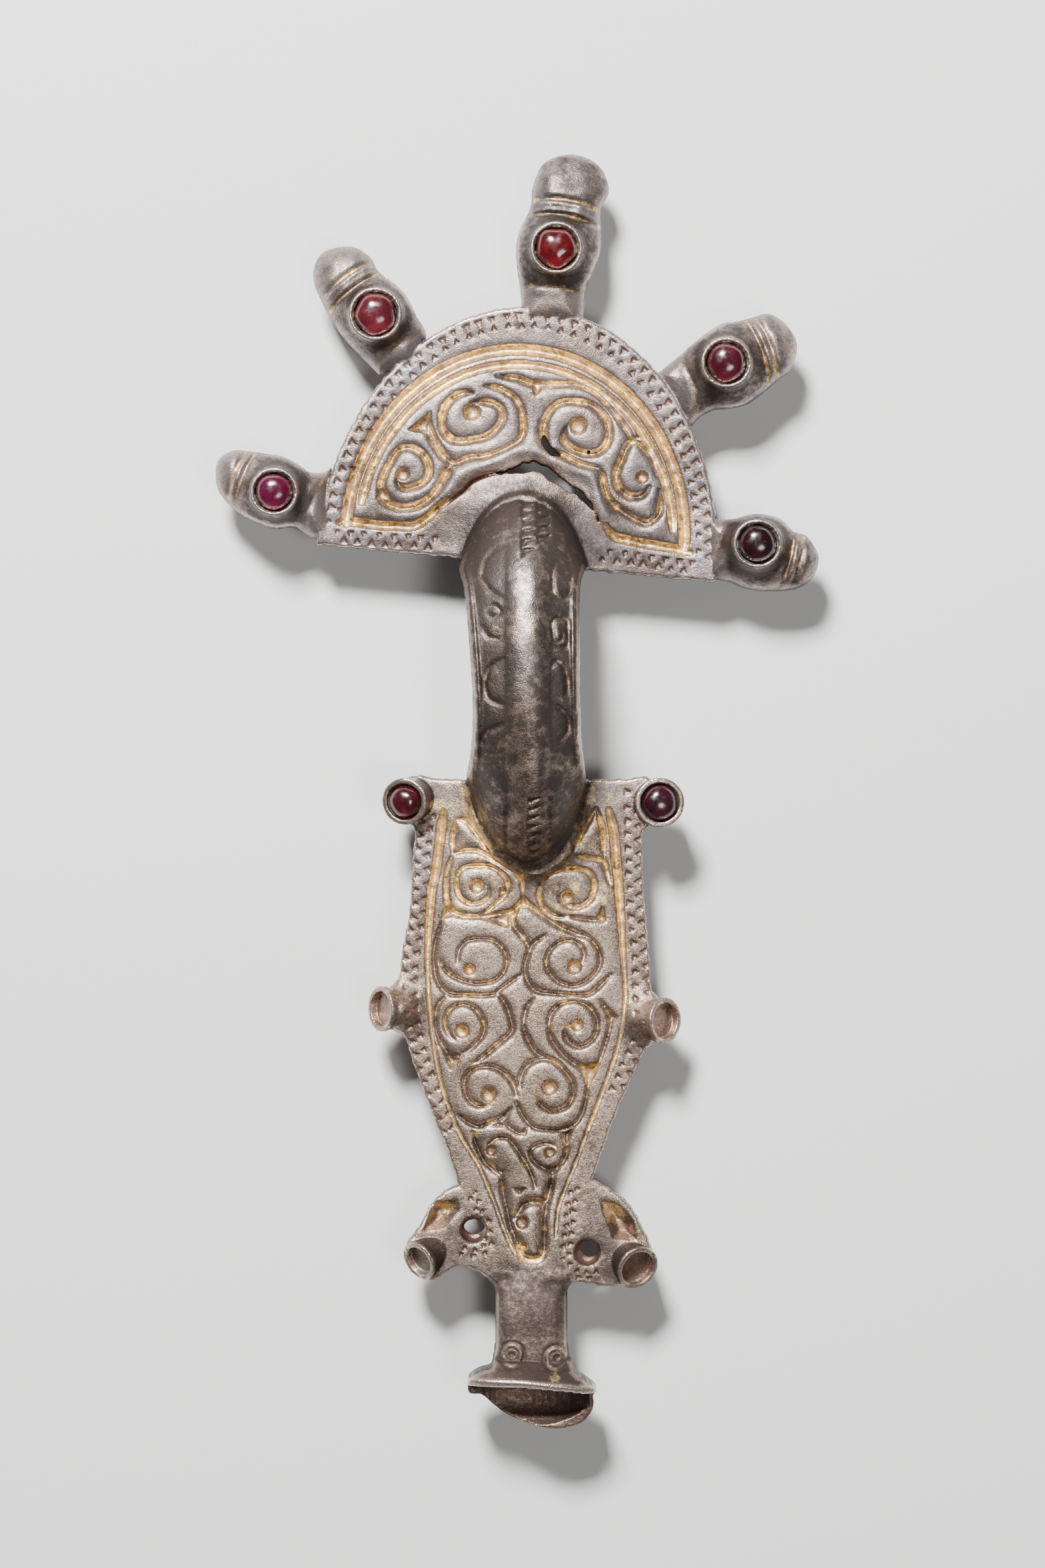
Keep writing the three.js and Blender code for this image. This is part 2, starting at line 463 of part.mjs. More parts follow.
// ---- the cast body ------------------------------------------------------------------
function carvedGrooves() {
  const frames = HEAD_FRAMES.map((frame) => groove(halfEllipse(frame, 24), frame.width, 3));
  const coils = COILS.map((coil) => groove(coilPoints(coil), coil[5], COIL_STEP));
  const links = LINKS.map(([width, through]) => groove(through, width, LINK_STEP));
  return [...frames, ...coils, ...links];
}

/** The pieces of a cut body that matter: crumbs left between two cuts fall away. */
function withoutCrumbs(body) {
  return wasm.Manifold.union(body.decompose().filter((piece) => piece.volume() > 1));
}

function castBody() {
  let body = wasm.Manifold.union([
    headPlate(), footPlate(), bow(), shaft(), mouthBell(),
    ...KNOBS.flatMap((knob) => [knobBody(knob), knobMound(knob)]),
    ...CUPS.map(cupBody),
  ]);
  const ground = new THREE.BoxGeometry(200, 300, 20).translate(0, 0, BACK - 10);
  body = body.subtract(solid(ground));
  const cuts = [
    ...carvedGrooves(), ...PITS.map(pit), ...HOLLOWS.map((corners) => prism(inTurn(corners), FIELD - HOLLOW_DEPTH, 4)),
    ...birdEyes(), bowChannel(), prism(inTurn(TEAR), -1, 6), prism(inTurn(SLIT), -1, 6),
    mouthCavity(), ...EYES.map(ringEye),
    ...KNOBS.map((knob) => seatHole(knobSeat(knob), knob.stone + GAP, CUP_FLOOR)),
    ...CUPS.map((cup) => seatHole(cupSeat(cup), cup.stone ? cup.stone + GAP : cup.radius - 0.55, CUP_FLOOR)),
  ];
  body = withoutCrumbs(body.subtract(wasm.Manifold.union(cuts)));
  return wasm.Manifold.union([body, ...LUG.xs.map(springLug), catchPlate()]);
}

/** The corners in anticlockwise order. */
function inTurn(points) {
  return THREE.ShapeUtils.isClockWise(points.map(([x, y]) => new THREE.Vector2(x, y))) ? [...points].reverse() : points;
}

// ---- garnets ------------------------------------------------------------------------
function garnet(name, radius, seat, colour) {
  const profile = [
    [0, 0], [radius, 0], [radius, 1.0], [radius * 0.87, 1.75], [radius * 0.5, 2.4], [0, 2.6],
  ];
  const material = new THREE.MeshStandardMaterial({ color: colour, roughness: 0.18, metalness: 0 });
  const mesh = new THREE.Mesh(lathe(profile, 12).translate(0, GAP - CUP_FLOOR, 0), material);
  mesh.name = name;
  mesh.applyMatrix4(seat);
  return mesh;
}

const brooch = new THREE.Group();
const silver = new THREE.MeshStandardMaterial({ color: 0x9c9388, roughness: 0.45, metalness: 0.85 });
const cast = new THREE.Mesh(toGeometry(castBody()), silver);
cast.name = "cast_body";
brooch.add(cast);
const KNOB_COLOURS = [0x9c1230, 0x8c2a3c, 0x8a1c1c, 0x6e1020, 0x2c0e14];
KNOBS.forEach((knob, i) => brooch.add(garnet(`garnet_knob_${i + 1}`, knob.stone, knobSeat(knob), KNOB_COLOURS[i])));
CUPS.filter((cup) => cup.stone).forEach((cup) => {
  brooch.add(garnet(`garnet_${cup.name}`, cup.stone, cupSeat(cup), 0x5c0f20));
});

export default brooch;
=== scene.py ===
"""Silver-gilt bow brooch with garnets, lying face up on a pale floor.

The cast body is one fine mesh: its solid form is worked out in millimetres on a fine
grid, with the height over the plates' back as the third axis, and then meshed.
"""

import math

import bpy
import numpy as np
import openvdb
from mathutils import Matrix, Vector


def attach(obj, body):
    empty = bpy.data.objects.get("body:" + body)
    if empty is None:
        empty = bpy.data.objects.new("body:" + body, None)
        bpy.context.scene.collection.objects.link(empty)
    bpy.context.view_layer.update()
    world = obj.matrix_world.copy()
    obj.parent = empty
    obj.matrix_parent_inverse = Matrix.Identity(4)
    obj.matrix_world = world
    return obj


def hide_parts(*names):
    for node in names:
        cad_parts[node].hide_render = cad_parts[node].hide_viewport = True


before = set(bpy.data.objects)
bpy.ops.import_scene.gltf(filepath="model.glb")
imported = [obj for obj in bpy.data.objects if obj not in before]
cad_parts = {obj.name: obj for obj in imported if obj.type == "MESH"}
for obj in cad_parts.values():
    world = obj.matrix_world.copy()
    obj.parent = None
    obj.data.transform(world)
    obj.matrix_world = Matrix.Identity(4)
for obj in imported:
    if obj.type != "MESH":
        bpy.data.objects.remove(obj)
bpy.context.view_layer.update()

# ---- sizes, in millimetres ----------------------------------------------------------
MM = 0.001
BACK = 6.0  # the plates' back stands this high over the floor
STEP = 0.15  # spacing of the grid
MOST_TRIANGLES = 190000

PLATE = 2.0
FIELD = 2.75
EDGE_ROUND = 0.45
GROOVE_DEPTH = 0.6  # of a channel 1 mm wide
BURR = 0.03  # how far the edges of the grooves stand up
BAND_ROUND = 0.6  # how far the rounded shoulder of a carved band reaches
PIT_DEPTH = 0.6
TAIL_RISE = 0.7  # of the foot plate towards the stem
BAND_SWELL = 0.65  # how strongly the bands between grooves swell
BANDS_FROM, BANDS_TO = -14.0, -45.0  # the foot is carved in rounded bands between these, in y
PUNCH_PITCH = 1.66  # of the marks along the borders
BORDER_INSETS = (1.15, 2.25)  # of the two rows of marks, from the plate's edge
CUT_LIMIT = 1.45  # no carving is deeper

HEAD = ((-0.2, 27.2), 24.1, 30.8, -5.4)  # middle, half-width, height, tilt
HEAD_FIELD = ((-0.36, 29.3), 21.1, 24.3, -4.9)
HEAD_FRAMES = (((-0.36, 30.2), 20.3, 22.6, -4.9, 1.25, 0), ((-0.35, 30.1), 18.9, 20.9, -4.9, 0.95, 3))
CHANNEL_WIDTH = 1.02  # of the channels inside the foot's borders and along the head's lower edge

BOW_MIDDLE, BOW_RISE = 13.2, 14.6
GAP_MIDDLE, GAP_HALF_SPAN, GAP_RISE = 14.2, 13.0, 11.2
CHANNEL = (-2.6, 5.2, 19.2, 11.4)  # from x, to x, half span, rise
RIB_HEIGHT = 1.0
ARCH_POWER, ARCH_ROUND = 2.3, 0.6  # of the bow's rise, seen from the side

# Knobs: outline, stone's place, heading, stone's radius, mound's foot radius; KNOB_GROOVES has how far
# out from the stone each is grooved.
KNOBS = {
    "knob_1": ([(-22.4, 38.8), (-23.4, 38.2), (-25.0, 38.2), (-26.9, 39.4), (-28.9, 40.2), (-32.2, 40.7),
                (-34.3, 40.8), (-35.9, 39.8), (-36.4, 38.0), (-35.9, 35.7), (-34.3, 33.9), (-32.9, 32.9),
                (-29.5, 31.4), (-26.9, 31.5), (-24.9, 30.3), (-22.0, 30.0)],
               (-29.1, 35.6), 160, 2.0, 4.2),
    "knob_2": ([(-16.7, 49.9), (-19.0, 52.2), (-21.7, 55.3), (-23.8, 59.1), (-24.6, 61.4), (-24.2, 63.7),
                (-22.7, 65.0), (-19.8, 65.3), (-17.7, 64.0), (-16.7, 62.3), (-13.7, 59.7), (-12.2, 57.0),
                (-11.0, 54.6), (-12.0, 51.0)],
               (-17.0, 56.8), 126.4, 2.3, 4.3),
    "knob_3": ([(0.2, 56.0), (0.4, 58.7), (-0.2, 65.4), (1.5, 70.1), (1.8, 72.6), (3.2, 75.4),
                (6.4, 76.4), (9.6, 75.2), (11.0, 72.2), (10.0, 69.6), (10.0, 65.0), (8.3, 60.4),
                (8.0, 57.7), (7.6, 55.6)],
               (4.6, 64.7), 83.3, 2.25, 4.8),
    "knob_4": ([(16.6, 49.9), (19.4, 52.2), (21.5, 53.9), (24.2, 55.8), (26.2, 56.3), (28.2, 56.8),
                (30.0, 57.3), (31.9, 56.3), (33.4, 54.3), (33.5, 52.4), (32.7, 50.3), (31.5, 49.4),
                (29.5, 47.7), (27.5, 46.3), (25.5, 45.8), (23.5, 45.6), (21.8, 44.7), (20.3, 43.0)],
               (24.9, 51.0), 20, 2.15, 4.7),
    "knob_5": ([(22.4, 32.6), (24.3, 32.6), (25.9, 32.5), (27.9, 33.0), (29.5, 33.0), (31.5, 32.5),
                (32.9, 31.2), (34.6, 30.6), (35.6, 29.4), (36.2, 28.0), (35.9, 26.4), (35.0, 25.0),
                (33.6, 24.2), (31.5, 23.9), (29.0, 23.9), (27.0, 24.3), (25.4, 25.0), (22.6, 25.4)],
               (28.6, 29.4), -10, 2.05, 4.2),
}
KNOB_GROOVES = {"knob_1": (4.3, 5.3), "knob_2": (4.2, 5.9), "knob_3": (4.1, 6.0), "knob_4": (4.6, 5.7),
                "knob_5": (4.3, 5.5)}
# How much darker each knob's tip is painted, negative values lighten: partly painted light and shade for how
# the key lamp falls on each tip.
TIP_TARNISH_AND_PAINTED_LIGHT = {"knob_1": -1.2, "knob_2": -0.3, "knob_3": 0.75, "knob_4": -0.15, "knob_5": -0.1}
KNOB_HEIGHT = 3.3
MOUND_TOP = 5.0
CUP_FLOOR = 1.5
STONE_SPREAD = 0.2  # how far a stone spreads over its seat

# Side cups: mouth's middle with its height, outer radius, heading and lean, stone's radius.
CUPS = {
    "corner_left": ((-13.6, -1.4, 4.3), 2.8, 200, 20, 1.75),
    "corner_right": ((17.0, -1.5, 4.4), 2.95, -5, 8, 1.95),
    "side_left": ((-16.5, -26.2, 2.8), 2.7, 180, 56, 0),
    "side_right": ((17.7, -27.6, 3.1), 2.75, -2, 46, 0),
    "beak_left": ((-11.9, -56.4, 3.0), 2.4, 212, 48, 0),
    "beak_right": ((14.4, -57.2, 3.3), 2.7, -38, 34, 0),
}
CUP_REACH = 4.6
EMPTY_REACH, EMPTY_FLOOR = 3.2, 0.9

SHAFT_X, SHAFT_HALF, SHAFT_HEIGHT = 1.62, 4.4, 4.4
SHAFT_FROM, SHAFT_TO = -54.5, -71.0
SHAFT_DENTS = ((-1.6, -58.7, 1.3), (4.4, -59.3, 1.4))
MOUTH_OUTLINE = [(-2.8, -68.2), (-3.3, -68.9), (-4.6, -69.3), (-5.8, -70.1), (-6.0, -70.9), (-5.8, -72.1),
                 (-4.4, -72.3), (-3.0, -73.5), (-1.4, -74.7), (0.6, -75.5), (2.6, -76.1), (4.4, -76.4),
                 (6.4, -76.1), (7.7, -75.6), (8.8, -74.4), (9.1, -73.2), (9.0, -72.5), (9.4, -71.5),
                 (8.2, -70.4), (6.9, -69.5), (6.4, -68.2)]
RIM_Y, RIM_TOP, LIP_TOP = -70.7, 7.2, 3.6
CAVITY = ((1.7, -72.6, 4.3), (7.0, 3.5, 2.7))  # middle, radii
EYES = ((-0.7, -67.4), (4.6, -67.8))

FOOT_LEFT = [(-11.4, 1.3), (-12.4, -6), (-13.0, -14.5), (-14.1, -21.5), (-13.5, -28.8), (-11.8, -34.8),
             (-8.7, -42.7), (-7.1, -47.4)]
FOOT_RIGHT = [(9.0, -46.6), (11.5, -39.5), (13.9, -34.0), (15.6, -29.5), (15.9, -22.6), (15.1, -12),
              (14.9, -5), (14.9, 1.3)]
BIRD_LEFT = [(-8.6, -48.0), (-10.4, -49.7), (-12.0, -53.0), (-13.0, -55.4), (-10.9, -58.5), (-8.3, -57.1),
             (-5.6, -57.3), (-2.8, -59.0)]
BIRD_RIGHT = [(6.2, -59.0), (8.6, -59.0), (11.4, -59.2), (15.2, -55.6), (14.9, -52.6), (13.4, -49.7),
              (11.2, -47.9)]
FOOT_TAIL = [(-3.6, -49), (-1.4, -57.4), (4.6, -57.4), (6.2, -48)]
FOOT_INSET = 2.3
BIRD_EYES = ((-5.2, -52.4, 1.25, 0.9), (8.6, -55.0, 1.1, 1.0))

# Fittings behind: side views in y and z, anticlockwise, with the plates' back at z = 0.
LUG_XS, LUG_THICK = (-8.5, 9.5), 2.2
LUG_SIDE = [(42.5, -BACK), (48.5, -BACK), (49.1, -4.0), (50.5, 0.5), (40.5, 0.5), (41.9, -4.0)]
AXLE_HOLE = (45.5, -3.2, 1.0)
CATCH_X, CATCH_THICK = 3.4, 1.2
CATCH_SIDE = [(-33.5, -BACK), (-22.5, -BACK), (-22.5, -4.4), (-21.3, 0.5), (-34.7, 0.5), (-33.5, -4.4)]
HOOK_X, HOOK_WIDTH = 1.7, 4.6
HOOK_SIDE = [(-33.5, -BACK), (-22.5, -BACK), (-22.5, -4.9), (-33.5, -4.9)]

EYE_RINGS = ((-5.3, -52.7, 1.5), (8.3, -55.4, 1.5))
CHEEK_LINES = ([(-5.6, -47.9), (-4.8, -50.0), (-3.7, -52.2), (-3.5, -54.4), (-4.8, -55.5), (-6.9, -55.2)],
               [(6.9, -47.4), (6.4, -50.0), (6.2, -52.6), (5.8, -55.0), (6.0, -57.0), (7.4, -58.0),
                (9.8, -58.0)])
CHEEK_COPPER = ((-9.9, -51.9, 1.1), (12.8, -53.0, 1.3))

# ---- carving ------------------------------------------------------------------------
# Spirals: middle, first heading, turn, radius at each eighth of a turn, groove's width.
COILS = [
    ((-13.8, 37.8), 225, 1, (0.96, 1.6, 2.08, 3.12, 3.36, 3.12, 2.05, 2.24, 3.36), 0.85),
    ((-5.5, 45.3), 90, -1, (1.12, 1.6, 3.6, 3.52, 3.4, 4.24, 3.44, 2.69, 2.24), 0.85),
    ((7.2, 43.6), 180, 1, (1.2, 2.32, 3.08, 4.08, 3.72, 3.08, 2.88, 3.56, 4.08, 4.56), 0.85),
    ((14.6, 37.5), 315, -1, (1.68, 2.32, 2.72, 2.84, 2.96, 4.8), 0.9),
    ((-4.9, -11.5), 0, -1, (1.4, 1.84, 2.16, 2.38, 2.48, 2.72, 2.4, 2.94, 3.72, 3.12, 3.44), 0.5),
    ((5.9, -12.8), 180, 1, (1.0, 0.84, 1.0, 1.84, 3.04, 3.92, 3.24, 3.4, 3.36, 2.96, 2.32), 0.6),
    ((-4.4, -20.6), 180, -1, (2.84, 3.04, 2.72, 3.0, 3.08, 2.84, 2.6, 3.2, 4.8), 0.6),
    ((6.5, -20.6), 0, 1, (1.2, 1.92, 2.56, 2.84, 3.12, 2.92, 2.92, 2.94, 3.42, 3.48, 3.56), 0.6),
    ((-6.7, -28.9), 225, -1, (1.36, 1.8, 2.72, 3.2, 2.96, 2.64, 2.24, 2.64), 0.7),
    ((7.1, -28.2), 180, 1, (1.16, 1.92, 2.56, 2.56, 2.48, 2.56, 2.88, 3.24, 3.44), 0.7),
    ((-3.5, -36.5), 270, -1, (1.12, 1.92, 2.72, 3.56, 3.36, 3.16, 3.32), 0.8),
    ((3.8, -35.6), 225, 1, (2.08, 2.8, 3.12, 2.84, 2.64, 3.28, 3.68, 3.6), 0.8),
    ((3.8, -43.4), 45, 1, (0.96, 1.0, 1.42, 2.28, 2.04, 2.04, 1.98, 2.08, 2.48), 0.7),
]
# Grooves that tie the spirals together: width, then the places they run through.
LINKS = [
    (1.02, [(-8.9, -2.6), (-9.2, -5.0), (-9.8, -9.6), (-10.3, -12.0), (-10.7, -17.2), (-10.8, -22.0),
            (-10.3, -28.8), (-9.2, -35.2), (-7.1, -41.0), (-5.8, -43.2), (-4.6, -45.2), (-3.5, -47.8),
            (-2.6, -50.0), (-1.9, -52.0), (-1.0, -54.2), (-0.2, -55.8)]),
    (1.02, [(10.9, -2.4), (11.5, -5.0), (11.8, -8.4), (12.2, -13.0), (12.6, -19.6), (12.9, -24.8),
            (12.1, -30.4), (10.3, -35.8), (8.3, -41.0), (7.0, -44.6), (5.6, -48.0), (4.8, -50.4),
            (4.5, -53.6)]),
    (0.55, [(-7.8, -7.7), (-6.2, -7.3), (-4.4, -7.5), (-1.4, -9.3), (0.3, -10.5), (0.6, -12.0),
            (0.6, -13.2)]),
    (0.6, [(-7.8, -7.7), (-8.5, -9.8), (-8.6, -12.0), (-8.4, -13.8), (-7.4, -14.9), (-5.2, -15.2),
           (-2.6, -14.9), (-0.7, -14.5), (0.6, -13.2)]),
    (0.6, [(0.6, -13.2), (-0.6, -15.1), (-0.4, -16.4), (0.6, -17.6), (1.4, -18.9)]),
    (0.7, [(0.6, -13.2), (1.8, -14.2), (4.9, -16.3), (6.5, -17.0), (8.6, -17.8)]),
    (0.7, [(3.3, -17.4), (1.8, -18.5), (1.0, -20.4), (0.8, -21.7), (1.3, -23.1), (2.2, -24.1),
           (4.2, -24.4), (7.1, -24.6), (8.9, -24.3), (11.2, -22.1)]),
    (0.7, [(5.9, -15.1), (7.4, -15.4), (10.2, -15.7)]),
    (0.6, [(6.8, -7.8), (8.6, -8.2), (10.2, -8.5), (10.7, -9.8), (11.0, -11.2)]),
    (0.6, [(-9.2, -15.8), (-9.9, -18.2), (-10.1, -20.4), (-9.7, -22.8), (-8.4, -24.4), (-6.2, -24.6),
           (-3.1, -24.6), (-2.0, -23.8), (0.6, -22.0)]),
    (0.6, [(-8.6, -24.6), (-9.7, -26.0), (-9.8, -27.8), (-9.7, -29.3), (-8.8, -30.9), (-7.9, -31.8),
           (-6.6, -31.8)]),
    (0.8, [(-2.5, -24.2), (-1.4, -25.8), (-0.9, -27.3), (-0.7, -28.9), (-2.5, -30.6), (-4.4, -32.2),
           (-5.4, -32.8)]),
    (0.7, [(1.9, -25.0), (1.0, -26.2), (0.6, -28.0)]),
    (0.8, [(0.6, -28.0), (1.1, -29.7), (2.1, -31.4), (4.2, -32.5)]),
    (0.6, [(1.1, -32.5), (0.8, -33.4), (0.2, -34.9)]),
    (0.8, [(3.7, -28.2), (4.0, -29.8), (5.5, -31.8), (7.6, -33.2), (9.5, -33.0)]),
    (0.5, [(9.8, -25.1), (11.1, -27.0), (11.1, -28.2), (10.3, -31.0), (9.6, -32.9)]),
    (0.6, [(8.3, -35.6), (8.2, -37.0), (7.3, -39.6), (5.4, -40.7), (3.0, -40.7), (1.7, -40.3),
           (0.6, -39.0), (-0.2, -37.4)]),
    (0.8, [(-0.7, -38.1), (-2.0, -39.3), (-3.4, -39.8), (-4.8, -40.3), (-6.2, -39.7), (-7.1, -39.0)]),
    (0.5, [(-1.0, -38.6), (-1.5, -39.8), (-0.7, -40.6), (0.3, -41.1), (1.3, -40.4)]),
    (0.7, [(-3.5, -42.5), (-2.5, -41.7), (-1.5, -41.7), (-0.7, -42.2), (0.9, -44.6), (1.6, -46.0),
           (2.1, -47.6)]),
    (0.8, [(-5.4, -41.0), (-5.0, -42.5), (-4.0, -44.6), (-3.0, -45.5), (-2.0, -46.3)]),
    (0.8, [(-2.0, -46.0), (-1.7, -48.5), (-1.2, -50.5), (-0.9, -52.2), (0.0, -54.3), (0.4, -55.7),
           (1.0, -56.2), (2.1, -56.3), (2.9, -55.9), (3.2, -54.4), (3.2, -52.0), (3.4, -50.0),
           (3.9, -48.0), (4.4, -46.3)]),
    (0.9, [(-0.4, -51.4), (0.6, -49.8), (1.8, -49.3), (3.3, -49.3), (3.8, -48.0), (4.2, -46.3)]),
    (0.95, [(-16.6, 35.8), (-16.0, 34.6), (-14.2, 33.8), (-11.9, 34.1), (-10.0, 35.5), (-8.7, 37.7),
            (-8.0, 39.2)]),
    (0.8, [(-10.9, 42.8), (-9.8, 41.2), (-8.9, 39.8), (-8.0, 39.2)]),
    (0.7, [(-10.6, 45.0), (-10.7, 43.9), (-9.8, 41.7), (-8.0, 39.2), (-5.8, 39.8), (-3.4, 40.1),
           (-0.7, 41.3), (0.5, 42.4), (0.6, 44.6), (-0.1, 46.6), (-2.0, 48.0), (-3.9, 48.4)]),
    (0.8, [(-2.5, 49.6), (-0.1, 49.3), (2.1, 48.6), (6.8, 48.6), (8.6, 48.1), (10.1, 47.0), (12.6, 43.9),
           (13.7, 42.2)]),
    (0.7, [(13.7, 42.2), (15.4, 40.8), (16.3, 39.4), (16.7, 37.8)]),
    (0.8, [(17.0, 35.9), (17.1, 33.6), (16.4, 32.5), (15.0, 32.0), (11.6, 34.0), (10.5, 35.8),
           (10.1, 37.8), (9.3, 38.6)]),
    (0.8, [(3.6, 40.7), (5.4, 40.1), (7.6, 39.0), (9.8, 38.5)]),
    (1.02, [(-21.3, 32.1), (-20.2, 32.2), (-17.4, 31.8), (-14.2, 31.6), (-12.3, 31.7), (-10.6, 32.8),
            (-8.6, 34.7)]),
    (1.02, [(20.7, 28.4), (19.4, 28.8), (17.2, 29.2), (13.8, 29.8), (11.6, 30.4), (10.5, 31.6)]),
    (0.6, [(-7.9, -7.6), (-7.8, -5.4), (-7.4, -3.5)]),
    (0.6, [(-7.4, -3.5), (-6.2, -3.8), (-5.0, -5.2), (-3.2, -7.7)]),
    (0.6, [(9.4, -2.2), (8.4, -3.9), (7.4, -5.8), (6.6, -7.4)]),
    (0.6, [(9.4, -2.2), (10.2, -4.8), (10.4, -8.2)]),
]
PITS = [
    (-13.8, 37.8, 0.88), (-5.5, 45.3, 1.12), (7.2, 43.6, 1.16), (14.9, 37.4, 0.8), (-4.9, -11.5, 0.88),
    (5.9, -12.8, 0.8), (-5.8, -21.5, 0.72), (6.8, -21.2, 0.92), (-6.7, -28.9, 0.88), (7.1, -28.2, 0.72),
    (-3.5, -36.5, 0.96), (3.8, -35.6, 0.98), (-3.2, -43.2, 0.68), (3.8, -43.4, 0.72), (0.5, -51.8, 0.84),
    (0.8, -54.6, 0.4), (-1.9, -12.1, 0.4),
]
# Three-cornered hollows between the spirals.
HOLLOWS = [
    [(-10.4, 45.4), (-13.3, 43.1), (-10.6, 42.6)], [(-16.3, 37.0), (-17.1, 34.8), (-15.1, 34.6)],
    [(-9.0, 43.6), (-8.7, 42.3), (-7.4, 42.2)], [(1.4, 49.3), (3.3, 48.5), (2.1, 47.0)],
    [(12.9, 43.6), (15.0, 41.1), (13.4, 41.4)], [(16.7, 35.8), (17.3, 35.8), (17.3, 33.4)],
    [(-8.5, -13.2), (-7.4, -15.0), (-9.3, -15.6)], [(-5.2, -15.3), (-0.9, -14.6), (-0.9, -16.6)],
    [(0.6, -12.0), (-0.2, -14.2), (1.6, -14.2)], [(10.2, -13.6), (10.6, -15.9), (9.3, -15.7)],
    [(10.0, -25.8), (12.1, -27.2), (11.0, -28.1)], [(7.6, -33.2), (10.0, -32.5), (8.4, -35.9)],
    [(-9.3, -30.7), (-6.9, -32.2), (-8.0, -33.7)], [(5.1, -41.0), (6.9, -40.3), (5.9, -42.7)],
    [(-3.7, -40.4), (-1.2, -40.4), (-2.3, -39.6)], [(-2.7, -45.3), (-1.4, -45.6), (-2.0, -46.2)],
    [(2.8, -45.4), (5.3, -45.2), (4.2, -46.6)], [(-0.6, -47.7), (1.1, -47.6), (0.2, -48.5)],
    [(1.3, -23.0), (2.3, -24.4), (3.6, -24.3)], [(0.2, -41.1), (1.3, -40.6), (0.9, -41.5)],
]
# Sunk faces of the bird heads.
FACES = [
    [(-10.4, -49.4), (-7.2, -49.0), (-6.9, -50.4), (-9.0, -52.6), (-11.4, -52.9)],
    [(9.6, -48.9), (12.0, -49.6), (13.9, -51.6), (14.3, -54.0), (11.4, -53.8)],
]
HEAD_RIDGE = [(-11.0, 33.3), (-8.5, 35.7), (-6.6, 38.0), (-3.4, 39.2), (-0.4, 40.6), (2.4, 40.6),
              (5.0, 39.3), (8.4, 37.9), (9.6, 36.0), (10.0, 34.0), (11.0, 31.4)]
RIDGE_HEIGHT = 0.5
TEAR = [(-3.0, 37.9), (-0.6, 38.5), (0.6, 39.2), (1.8, 39.4), (3.1, 39.0), (4.2, 38.2), (5.8, 37.0),
        (7.0, 36.2), (8.2, 35.2), (9.0, 34.0), (9.8, 32.0), (9.8, 31.6), (9.4, 32.8), (8.2, 34.3),
        (6.8, 35.4), (5.0, 36.4), (3.0, 37.7), (1.9, 38.2), (0.6, 37.9), (-1.0, 37.8)]
CRACK = [(-2.8, 37.9), (-4.2, 37.5), (-5.5, 36.9), (-6.6, 35.8), (-7.8, 34.9), (-9.0, 33.9)]
SLIT = [(3.2, 42.2), (3.8, 41.0), (4.9, 40.1), (4.2, 40.1), (3.3, 41.0), (3.0, 41.7)]
PIN_HOLE = (8.5, 40.5, 0.2)

# ---- the grid and small helpers -----------------------------------------------------
XS = np.arange(-37.6, 37.8, STEP, dtype=np.float32)
YS = np.arange(-77.4, 77.6, STEP, dtype=np.float32)
ZS = np.arange(-6.8, 16.6, STEP, dtype=np.float32)
GX, GY = np.meshgrid(XS, YS, indexing="ij")
FAR = 9.0


def smoothstep(low, high, value):
    t = np.clip((value - low) / (high - low), 0.0, 1.0)
    return t * t * (3.0 - 2.0 * t)


def new_map():
    return np.zeros(GX.shape, np.float32)


def patch(x0, x1, y0, y1):
    """The part of the plan that covers a rectangle, as a pair of slices."""
    i0 = max(0, int((x0 - XS[0]) / STEP))
    i1 = min(len(XS), int((x1 - XS[0]) / STEP) + 2)
    j0 = max(0, int((y0 - YS[0]) / STEP))
    j1 = min(len(YS), int((y1 - YS[0]) / STEP) + 2)
    return np.s_[i0:i1, j0:j1]


def box_area(middle, reach):
    return patch(middle[0] - reach, middle[0] + reach, middle[1] - reach, middle[1] + reach)


def around(points, reach):
    xs = [p[0] for p in points]
    ys = [p[1] for p in points]
    return patch(min(xs) - reach, max(xs) + reach, min(ys) - reach, max(ys) + reach)


def catmull(values, place):
    """Smooth value at a broken index along a list of numbers or points."""
    last = len(values) - 1
    i = min(int(place), last - 1)
    t = place - i
    a, b, c, d = (np.asarray(values[min(max(k, 0), last)], float) for k in (i - 1, i, i + 1, i + 2))
    return 0.5 * (2 * b + (c - a) * t + (2 * a - 5 * b + 4 * c - d) * t**2 + (3 * b - a - 3 * c + d) * t**3)


def smooth_line(points, per_span=5):
    count = (len(points) - 1) * per_span
    return [tuple(catmull(points, k / per_span)) for k in range(count + 1)]


def coil_line(middle, start, turn, radii):
    line = []
    for k in range((len(radii) - 1) * 5 + 1):
        place = k / 5
        radius = float(catmull(radii, place))
        angle = math.radians(start + turn * 45 * place)
        line.append((middle[0] + radius * math.cos(angle), middle[1] + radius * math.sin(angle)))
    return line


def half_ellipse(middle, half_width, height, tilt, count=72):
    turn = math.radians(tilt)
    line = []
    for k in range(count + 1):
        angle = math.pi * k / count
        x, y = half_width * math.cos(angle), height * math.sin(angle)
        line.append((middle[0] + x * math.cos(turn) - y * math.sin(turn),
                     middle[1] + x * math.sin(turn) + y * math.cos(turn)))
    return line


def to_segment(x, y, p, q):
    """Distance to a straight piece."""
    dx, dy = q[0] - p[0], q[1] - p[1]
    along = np.clip(((x - p[0]) * dx + (y - p[1]) * dy) / max(dx * dx + dy * dy, 1e-9), 0.0, 1.0)
    return np.hypot(x - p[0] - along * dx, y - p[1] - along * dy)


def beside(x, y, p, q):
    """Distance to the left of a line that runs from p to q."""
    return ((q[0] - p[0]) * (y - p[1]) - (q[1] - p[1]) * (x - p[0])) / math.dist(p, q)


